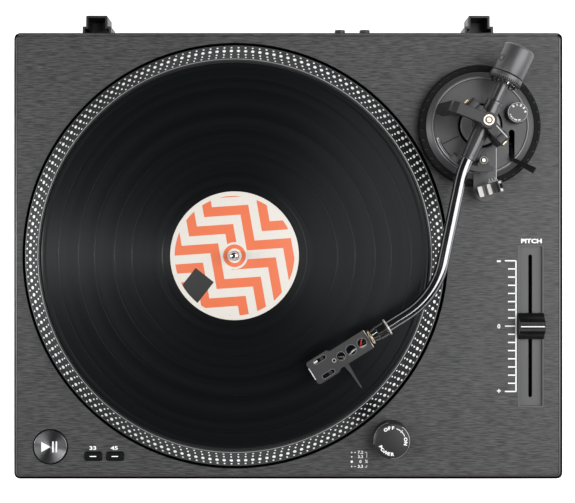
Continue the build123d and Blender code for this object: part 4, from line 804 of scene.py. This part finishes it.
def build_rim():
    """The panel's chamfered edge, and the plinth's black rim showing round it."""
    wide, deep, _ = size_of("plinth_shell")
    panel_wide, panel_deep, _ = size_of("top_panel")
    chamfer = rounded_rectangle(panel_wide + 1.9, panel_deep + 0.8, 3.0, (0.05, -0.3))

    def edge(bm):
        inner = rounded_rectangle(panel_wide + 0.06, panel_deep + 0.06, 2.5)
        add_band(bm, inner, chamfer, -1.4, -0.05, -0.55)

    def rim(bm):
        outer = rounded_rectangle(wide + 1.6, deep + 1.8, 4.6, (0.3, -0.1))
        add_band(bm, chamfer, outer, -3.0, -0.6)

    piece("panel_edge", edge, "panel_edge", sharp=10, **PRINT)
    strip = rounded_rectangle(panel_wide - 1.8, 1.9, 0.9, (0, panel_deep / 2 + 1.0))
    slab("panel_back_strip", strip, -1.4, -0.03, "panel", **PRINT)
    piece("plinth_rim", rim, "rim", "plinth", "black_housing", place=PRINT["place"], sharp=10)


def build_prints():
    """Fader scale, speed and pitch labels, and the strobe legend."""

    def scale(bm):
        add_bar(bm, (SCALE_X, SCALE_TOP), (SCALE_X, SCALE_END), INK_WIDTH, 0, INK_T)
        for k in range(TICKS):
            y = SCALE_TOP + (SCALE_END - SCALE_TOP) * k / (TICKS - 1)
            reach = 8.7 if k % 8 == 0 else 6.3
            add_bar(bm, (SCALE_X - reach, y), (SCALE_X, y), INK_WIDTH, 0, INK_T)
        for sign, size, y in (("-", 12.0, -3.4), ("0", 4.6, -55.9), ("+", 6.0, -107.0)):
            add_text(bm, sign, size, shift(SIGN_X, y), weight=0.12)

    def labels(bm):
        for words, x in (("33", -153.9), ("45", -136.9)):
            add_text(bm, words, 4.0, shift(x, -151.9), 1.45, 0.12)
        add_text(bm, "PITCH", 4.6, shift(192.1, 11.4), 1.3, 0.2)

    def legend(bm):
        rows = ((-155.2, 0.55, "7.2"), (-158.7, 0.55, "3.3"), (-162.5, 0.95, "0"), (-166.3, 0.55, "3.3"))
        for y, size, words in rows:
            add_prism(bm, ring_outline(size, 16, (50.3, y)), 0, INK_T)
            add_text(bm, words, 3.1, shift(57.2, y), 1.15, 0.08)
        add_prism(bm, ring_outline(0.45, 16, (52.9, -155.2)), 0, INK_T)
        add_bar(bm, (52.3, -166.3), (53.5, -166.3), 0.4, 0, INK_T)
        for y, corner in ((-159.4, -155.0), (-165.3, -166.8)):
            add_bar(bm, (62.2, y), (62.2, corner), 0.35, 0, INK_T)
            add_bar(bm, (60.6, corner), (62.2, corner), 0.35, 0, INK_T)
        add_text(bm, "%", 3.3, shift(61.9, -162.4), 1.0, 0.04)

    for name, marks in (("fader_scale", scale), ("panel_labels", labels), ("strobe_legend", legend)):
        piece(name, marks, "ink", **PRINT)


# ---- buttons, power dial and fader -----------------------------------------------------------
START_R = 13.1
DIAL_R = size_of("power_dial")[0] / 2
DIAL_TEXT = (                        # words, heading, step between letters, and which way they face
    ("OFF", 104, 16, False), ("ON", -1, 18, False), ("POWER", 237, 16, True),
)


def on_top(node):
    """A placing matrix at the middle of a node's top face."""
    low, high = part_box(node)
    return Matrix.Translation(((low.x + high.x) / 2, (low.y + high.y) / 2, high.z))


def build_buttons():
    """Spun start/stop button with its play and pause marks, and lit bars on the speed buttons."""
    depth = size_of("start_stop_button")[2]
    start = {"body": "start_stop_button", "slot": "button_metal", "place": on_top("start_stop_button")}

    def marks(bm):
        add_prism(bm, [(-7.0, -4.0), (0.2, 0.0), (-7.0, 4.0)], -0.45, 0.0)
        for x in (2.2, 4.9):
            add_prism(bm, rounded_rectangle(1.15, 8.6, 0.2, (x, 0)), -0.45, 0.0)

    turned("start_stop_face", [
        (0, -depth), (START_R, -depth), (START_R, -0.9), (START_R - 0.15, -0.6),
        (START_R - 0.5, -0.4), (START_R - 1.0, -0.5), (0, -0.1),
    ], "spun", count=96, replaces=["start_stop_button"], sharp=20, **start)
    piece("start_stop_marks", marks, "ink", **start)
    for speed in ("33", "45"):
        body = f"speed_{speed}_button"
        slab(f"speed_{speed}_light", rounded_rectangle(5.2, 0.6, 0.25), -0.1, 0.05, "glow", body,
             "black_gloss", place=on_top(body))


def build_power_dial():
    """Spun cap of the power dial, painted highlight arcs on its edge, and its printed ring."""
    tall = size_of("power_dial")[2]
    place = Matrix.Translation((POWER.x, POWER.y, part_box("power_dial")[1].z))
    dial = {"body": "power_dial", "slot": "black_gloss", "place": place}

    def marks(bm):
        for words, heading, step, inward in DIAL_TEXT:
            add_ring_text(bm, words, 3.4, 10.2, heading, step, 0.16, inward)
        add_lathe(bm, [(9.9, 0), (10.5, 0), (10.5, INK_T), (9.9, INK_T)], 16, 22, 50)
        add_bar(bm, polar(9.2, 47), polar(11.6, 47), 0.5, 0, INK_T)

    # painted highlight: bright arcs where the dial's chamfer and rim catch the light
    def highlight_arcs(bm):
        inner, outer = DIAL_R - 0.25, DIAL_R + 0.03
        add_lathe(bm, [(inner, -1.2), (outer, -1.2), (outer, -1.7), (inner, -1.7)], 30, 102, 88)
        inner, outer = DIAL_R - 1.25, DIAL_R - 1.0
        add_lathe(bm, [(inner, -0.3), (inner, -0.12), (outer, -0.18), (outer, -0.3)], 40, -95, 150)

    piece("power_dial_highlight", highlight_arcs, "edge", **dial)
    turned("power_dial_cap", [
        (0, -tall), (DIAL_R - 0.4, -tall), (DIAL_R, 0.4 - tall), (DIAL_R, -1.5),
        (DIAL_R - 0.35, -0.75), (DIAL_R - 1.1, -0.25), (DIAL_R - 2.0, 0), (0, 0),
    ], "dial_top", count=96, replaces=["power_dial"], sharp=20, **dial)
    piece("power_dial_print", marks, "ink", **dial)


def build_fader():
    """The fader knob's grey crest, a painted highlight, and the white line along it."""
    long = size_of("pitch_fader_knob")[0] - 1.6
    knob = {"body": "pitch_fader_knob", "slot": "fader_plastic", "place": on_top("pitch_fader_knob")}
    # painted highlight: lighter bands either side of the line where the knob's ridge catches the light
    slab("fader_crest_highlight", rounded_rectangle(long, 3.8, 0.2), -0.3, 0.0, "satin_light", bevel=0.15, **knob)
    slab("fader_line", rounded_rectangle(long, 0.8, 0.2), -0.06, 0.04, "ink", **knob)


# ---- tonearm base ----------------------------------------------------------------------------
AT_BASE = Matrix.Translation((PIVOT.x, PIVOT.y, BASE_FLOOR))
ON_BASE = {"body": "arm_base", "slot": "dark_metal", "place": AT_BASE}
RING_R = size_of("height_ring")[0] / 2
RING_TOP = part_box("height_ring")[1].z
SKATE_DASHES = ((192, 9), (207, 12), (225, 10), (241, 24), (271, 20))     # start and sweep


def square_ring(inner, outer, low, high):
    """The profile of a flat ring."""
    return [(inner, low), (inner, high), (outer, high), (outer, low)]


def build_screw(name, place, radius, rise, material, body, slot, replaces=()):
    """A round screw head with a raised rim, a dished ring and a slotted middle, whose slot is a dark sheet of
    painted shade.
    """
    turned(name, [
        (0, -0.6), (radius, -0.6), (radius, rise - 0.25), (radius - 0.25, rise),
        (radius * 0.78, rise), (radius * 0.70, rise - 0.45), (radius * 0.46, rise - 0.45),
        (radius * 0.40, rise - 0.05), (0, rise),
    ], material, body, slot, 40, replaces=replaces, place=place, sharp=25)
    # painted shade: a dark sheet for the shade in the screw's slot
    slab(name + "_slot", rounded_rectangle(radius * 0.66, radius * 0.13, 0.02), rise - 0.06, rise + 0.02,
         "label_dark", body, slot, place=place @ Matrix.Rotation(0.5, 4, "Z"))


def build_arm_base():
    """Grip lugs round the height ring, and the base's rib, step and screw, with painted highlights on the rim, the
    rest's edge and the hub, and painted shade in the grooves, along the step's edge and round the hub.
    """

    def lugs(bm):
        for k in range(36):
            out, side = spoke(radians(10 * k + 4))
            add_dome(bm, out * (RING_R - 2.1), side, out, UP, (1.5, 1.1), 0.35, 12)

    # painted shade: black lines in the rib's groove, along the step's edge and in the gap round the hub
    def grooves(bm):
        add_lathe(bm, square_ring(34.3, 34.9, 1.2, 1.34), 24, 198, 46)
        add_bar(bm, polar(18.5, 206), polar(32.6, 206), 0.5, 0.0, 0.5)
        add_lathe(bm, square_ring(33.0, 33.5, 0, 0.3), 30, 186, 62)
        add_lathe(bm, square_ring(15.9, 17.4, 0, 0.3), 72)

    # painted highlight: a bright bar where the rest's right edge catches the light
    def rest_edge_highlight(bm):
        add_bar(bm, (12.15, -17.5), (12.15, -50.0), 0.4, 2.2, 2.5)

    piece("ring_lugs", lugs, "button", "height_ring", "dark_metal",
          place=Matrix.Translation((PIVOT.x, PIVOT.y, RING_TOP)))
    turned("base_rib", [(33.7, 0), (33.7, 1.0), (34.1, 1.3), (35.3, 1.3), (35.7, 1.0), (35.7, 0)],
           "edge", count=24, start=196, sweep=50, **ON_BASE)
    piece("base_shade_lines", grooves, "rim", **ON_BASE)
    step = [polar(18.3, a) for a in range(88, 206, 6)] + [polar(34.6, a) for a in range(202, 82, -6)]
    slab("base_step", step, -0.2, 0.45, "grey", bevel=0.15, **ON_BASE)
    # painted highlight: a bright line on the base's rim; painted shade: a dark ring just inside it
    turned("base_highlight_line", square_ring(36.9, 37.5, 0.3, 0.72), "satin_light", count=120, **ON_BASE)
    turned("base_rim_shade", square_ring(36.0, 36.6, -0.1, 0.04), "label_dark", count=120, **ON_BASE)
    piece("rest_edge_highlight", rest_edge_highlight, "edge", **ON_BASE)
    # painted highlight: a lighter face on the hub, which sits in the yoke's shade
    turned("hub_face_highlight", [(6.4, 0), (6.4, 0.1), (15.2, 0.1), (15.6, -0.2), (15.6, -0.4)], "satin_light",
           "gimbal", "dark_metal", 72, place=AT_BASE @ shift(0, 0, 0.4))
    build_screw("base_screw", AT_BASE @ shift(*polar(30.3, 229)), 1.7, 0.4, "dark_grey", "arm_base",
                "dark_metal")


def build_skate_dial():
    """The anti-skate dial's painted highlight rim, numbers and dashes."""
    dial = {"body": "anti_skate_dial", "slot": "dark_metal", "place": on_top("anti_skate_dial")}

    def marks(bm):
        add_ring_text(bm, "01234", 2.3, 5.8, 66, 30, 0.16)
        for start, sweep in SKATE_DASHES:
            add_lathe(bm, [(5.5, 0), (6.4, 0), (6.4, INK_T), (5.5, INK_T)], 5, start, sweep)

    # painted highlight: a bright ring where the dial's top edge catches the light
    turned("anti_skate_rim_highlight", square_ring(7.35, 7.6, -0.1, 0.06), "edge", count=64, **dial)
    piece("anti_skate_marks", marks, "ink", **dial)


def build_bearing_cap():
    """The plated screw on top of the pivot bridge, with its bronze ring and a painted shade ring round the boss.
    """
    boss = Matrix.Translation((PIVOT.x, PIVOT.y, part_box("pivot_bridge")[1].z))
    build_screw("bearing_cap", boss, 4.1, 1.1, "cap", "arm_base", "contact_gold",
                replaces=["bearing_screw"])
    turned("bearing_cap_ring", square_ring(1.8, 2.7, 0.5, 0.9), "bronze", "arm_base", "contact_gold",
           40, place=boss)
    # painted shade: a dark ring round the boss where the cap's edge shades it
    turned("boss_shade_ring", square_ring(4.35, 4.9, -0.1, 0.12), "label_dark", "arm_base", "dark_metal",
           48, place=boss)


def build_cue_parts():
    """The cue lift's bracket, and its plated screw in a dark seat."""
    post = PIVOT + Vector((0.2, -28.2, 0)) * MM
    place = Matrix.Translation((post.x, post.y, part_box("cue_lift")[1].z - 2.5 * MM))
    lift = {"body": "cue_lift", "slot": "dark_metal", "place": place}
    bracket = [(-1.0, 8.0), (1.0, 8.0), (4.6, -2.6), (4.9, -7.0), (-4.9, -7.0), (-4.6, -2.6)]
    slab("lift_bracket", bracket, -1.0, -0.3, "dark_grey", bevel=0.25, **lift)
    turned("lift_seat", [(0, -0.6), (3.4, -0.6), (3.4, 0.15), (3.1, 0.3), (2.3, 0.3), (2.1, 0.0), (0, 0.0)],
           "gloss_black", count=40, sharp=25, **lift)
    build_screw("lift_screw", place, 1.6, 0.7, "cap", "cue_lift", "contact_gold")


CRADLE_TOP = -5.25                   # heights over the arm's line, in millimetres
REST_BARS = ((-7.3, 3.6, CRADLE_TOP), (-0.2, 3.0, CRADLE_TOP), (7.5, 2.0, 1.2))


def build_rest_clip():
    """Bright springy bars across the arm rest's cradle, and the clip's black teeth."""
    forward = joint_axis("arm_clamp_turn")
    sideways = UP.cross(forward)
    rest = joint_place("arm_clamp_turn") - sideways * 7.7 * MM
    place = frame_at(Vector((rest.x, rest.y, PIVOT_Z)), forward)
    for number, (y, width, height) in enumerate(REST_BARS):
        slab(f"rest_bar_{number + 1}", rounded_rectangle(8.2, width, 0.7, (0.2, y)), height,
             height + 0.28, "leaf_chrome", "arm_base", "dark_metal", place=place, bevel=0.12)

    def clip(bm):
        for y in (1.4, 3.6, 5.8):
            add_prism(bm, rounded_rectangle(3.4, 1.5, 0.4, (-6.2, y)), CRADLE_TOP - 2.4, CRADLE_TOP + 0.2)
        add_prism(bm, rounded_rectangle(1.6, 8.4, 0.5, (-5.0, 3.8)), CRADLE_TOP - 2.4, CRADLE_TOP - 0.2)
    piece("rest_clip", clip, "gloss_black", "arm_base", "black_gloss", place=place, bevel=0.15)


# ---- the arm ---------------------------------------------------------------------------------
TUBE_R = 4.75
BEND_1 = AT_ARM + SLEEVE_DIR * 40.4 * MM
BEND_2 = FERRULE - HEAD_DIR * 43.8 * MM
BEND_1_R, BEND_2_R = 76.0 * MM, 62.0 * MM


def bent_line(start, corners, end):
    """Points along straight runs whose (corner, radius) pairs are rounded with arcs."""
    points = [start]
    stops = [start] + [corner for corner, _ in corners] + [end]
    for k, (corner, radius) in enumerate(corners):
        coming = (corner - stops[k]).normalized()
        going = (stops[k + 2] - corner).normalized()
        turn = coming.angle(going)
        side = (going - coming * going.dot(coming)).normalized()
        begin = corner - coming * radius * tan(turn / 2)
        centre = begin + side * radius
        steps = max(6, round(turn / radians(2)))
        for i in range(steps + 1):
            a = turn * i / steps
            points.append(centre - side * radius * cos(a) + coming * radius * sin(a))
    points.append(end)
    return points


def build_tube():
    """The S-shaped tube as one smooth skin."""
    line = bent_line(AT_ARM + SLEEVE_DIR * 29.0 * MM, ((BEND_1, BEND_1_R), (BEND_2, BEND_2_R)),
                     FERRULE + HEAD_DIR * 0.6 * MM)
    piece("tube_skin", lambda bm: add_tube(bm, line, TUBE_R, sides=48), "tube", "tonearm",
          "black_chrome", replaces=["arm_tube"])


HEAD_HOLES = ((22.7, 3.6), (32.4, 3.9), (41.4, 3.2))     # from the ferrule, and their radii
SLOT_X, SLOT_Y, SCREW_X = 56.6, 6.4, 54.9                # the cartridge's slots and screws
LEADS = (                            # each through (along, sideways, height) points
    ("red", ((19.6, -3.3, -1.1), (22.2, -2.0, -0.9), (24.4, 1.6, -1.4), (29.0, 5.6, -4.5),
             (45.4, 5.6, -7.6), (47.6, -3.3, -8.0))),
    ("white", ((19.6, 3.3, -1.6), (24.2, 3.0, -1.2), (31.0, 1.2, -1.4), (36.0, 3.4, -3.4),
               (47.6, 3.3, -8.0))),
    ("blue", ((19.6, -1.1, -2.2), (25.0, -3.4, -2.2), (33.0, -2.8, -2.8), (41.0, -2.2, -5.0),
              (47.6, -1.1, -8.4))),
    ("green", ((19.6, 1.1, -2.4), (26.0, 0.2, -2.4), (34.0, 2.9, -3.0), (41.0, 2.4, -5.2),
               (47.6, 1.1, -8.6))),
)


def build_head():
    """Headshell trim: washer, plug ring, painted highlight rims, eyelet with painted shade in its hole, lip and
    screws, and its coloured leads.
    """
    place = frame_at(FERRULE, HEAD_DIR)
    along = about_axis(FERRULE, HEAD_DIR)
    steel = {"body": "tonearm", "slot": "steel"}
    eyelet = place @ shift(47.6, 0, 2.2)

    def lip(bm):
        add_bar(bm, (67.2, -4.9), (67.2, 4.9), 0.8, 1.2, 2.3)
        add_bar(bm, (16.6, -7.4), (16.6, 7.4), 0.35, 1.9, 2.28)
        add_bar(bm, (58.6, -6.4), (61.6, -6.4), 1.5, 1.9, 2.3)

    # painted highlight: thin bright rims where the edges of the holes and slots catch the light
    def highlight_rims(bm):
        for x, radius in HEAD_HOLES:
            inner, outer = ring_outline(radius, 40, (x, 0)), ring_outline(radius + 0.3, 40, (x, 0))
            add_band(bm, inner, outer, 2.15, 2.24)
        for y in (-SLOT_Y, SLOT_Y):
            inner = rounded_rectangle(10.5, 3.3, 1.64, (SLOT_X, y), 8)
            outer = rounded_rectangle(11.1, 3.9, 1.94, (SLOT_X, y), 8)
            add_band(bm, inner, outer, 2.15, 2.24)

    # painted shade: a black disc in the eyelet's hole
    turned("head_eyelet_shade", [(0, -0.1), (1.05, -0.1), (1.05, 0.03), (0, 0.03)], "rim", count=20,
           place=eyelet, **steel)
    piece("head_highlight_rims", highlight_rims, "satin_light", "tonearm", "dark_metal", place=place)
    turned("plug_ring", [(4.8, -0.9), (6.5, -0.9), (6.7, -0.7), (6.7, 0.1), (6.5, 0.3), (4.8, 0.3)],
           "bright", place=along, **steel)
    turned("head_washer", [(5.0, -0.9), (6.0, -0.9), (6.3, -0.5), (6.3, 0.5), (6.0, 0.9), (5.0, 0.9)],
           "gold", "tonearm", "contact_gold", place=along @ shift(0, 0, 14.4))
    for side, y in (("left", -SLOT_Y), ("right", SLOT_Y)):
        build_screw(f"cartridge_screw_{side}", place @ shift(SCREW_X, y, 1.7), 1.55, 0.4, "dark_grey",
                    replaces=["cartridge_screws"], **steel)
    turned("head_eyelet", [(1.0, -0.1), (1.0, 0.12), (1.1, 0.22), (1.5, 0.22), (1.7, 0.0), (1.7, -0.1)],
           "edge", count=24, place=eyelet, **steel)
    piece("head_lip", lip, "bright", place=place, **steel)
    for hue, points in LEADS:
        lead = wire(f"lead_{hue}", points, 0.6, f"{hue}_wire", "tonearm", place)
        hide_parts("headshell_leads")
    wire("lead_pin", ((39.4, 1.8, -2.0), (41.4, 0.9, -1.8), (43.6, -0.2, -2.2)), 0.5, "gold",
         "tonearm", place)


def build_weight():
    """Set screw in the counterweight's side, as a painted shade ring round a lighter floor with a painted glint,
    and the force dial's knurled front edge and teeth.
    """
    back = -SLEEVE_DIR
    at_back = about_axis(AT_ARM, back)
    out = (UP.cross(back) * 0.84 + UP * 0.54).normalized()
    at_screw = about_axis(AT_ARM + back * 49.0 * MM + out * 12.4 * MM, out)

    # painted highlight: a lighter floor and bar for the glint in the screw's socket
    def socket_glint(bm):
        add_prism(bm, rounded_rectangle(2.8, 0.7, 0.2), -0.4, 0.12)
        add_prism(bm, ring_outline(1.5, 24), -0.4, -0.05)

    def knurl(bm):
        for k in range(48):
            outward, side = spoke(2 * pi * k / 48)
            add_dome(bm, outward * 12.7 + UP * 35.1, side, UP, outward, (0.62, 0.95), 0.35, 8)

    def teeth(bm):
        for k in range(14):
            outward, side = spoke(2 * pi * k / 14)
            add_dome(bm, outward * 9.4 + UP * 34.0, side, outward, -UP, (1.1, 1.5), 2.6, 8)
        add_lathe(bm, square_ring(5.2, 10.6, 33.6, 34.2), 48)

    piece("dial_teeth", teeth, "gloss_black", "force_dial", "fader_plastic", place=at_back)
    # painted shade: a dark ring for the shade in the screw's hole
    turned("weight_screw_shade_ring",
           [(1.5, -0.5), (1.5, 0.05), (1.8, 0.18), (2.6, 0.18), (2.9, -0.1), (2.9, -0.5)],
           "label_dark", "counterweight", "dark_metal", 32, place=at_screw, sharp=25)
    piece("weight_screw_glint", socket_glint, "satin_light", "counterweight", "dark_metal",
          place=at_screw, sharp=25)
    piece("dial_knurl", knurl, "ring", "force_dial", "dark_metal", place=at_back)


def build_yoke():
    """Square corners for the gimbal yoke's ends, and a painted highlight line along its upper edge."""
    heading = joint_axis("arm_pitch")
    heading = heading if heading.y < 0 else -heading
    place = frame_at(AT_ARM, heading)

    def ends(bm):
        for x, y in ((-16.5, -8), (-16.5, 8), (16.5, -8), (16.5, 8)):
            add_prism(bm, rounded_rectangle(8.4, 11.2, 2.2, (x, y)), -4.4, 4.4)

    # painted highlight: a bright bar where the yoke arm's edge catches the light
    def line(bm):
        add_bar(bm, (7.0, 2.6), (19.4, 2.6), 0.7, 13.4, 13.75)

    piece("yoke_ends", ends, "dark_grey", "gimbal", "dark_metal",
          place=place @ Matrix.Rotation(pi / 2, 4, "X"), bevel=0.4)
    piece("yoke_highlight_line", line, "edge", "gimbal", "dark_metal", place=place)


def build_back():
    """Coloured rings round the two phono sockets."""
    collar = [(4.25, -4.2), (6.2, -4.2), (6.2, -3.2), (5.9, -2.9), (4.25, -2.9)]
    for mount, material in (("phono_left", "white_wire"), ("phono_right", "red_wire")):
        found = next(m for m in frame["record"]["mounts"] if m["name"] == mount)
        turned(f"{mount}_ring", collar, material, "plinth", "contact_gold", 40,
               place=about_axis(Vector(found["pos_m"]), Vector(found["axis"])))


MATERIAL.update(build_materials())
for build in (
    build_setting, dress_nodes, round_edges, build_platter, build_record, build_rim, build_prints,
    build_buttons, build_power_dial, build_fader, build_arm_base, build_skate_dial, build_bearing_cap,
    build_cue_parts, build_rest_clip, build_tube, build_head, build_weight, build_yoke, build_back,
):
    build()
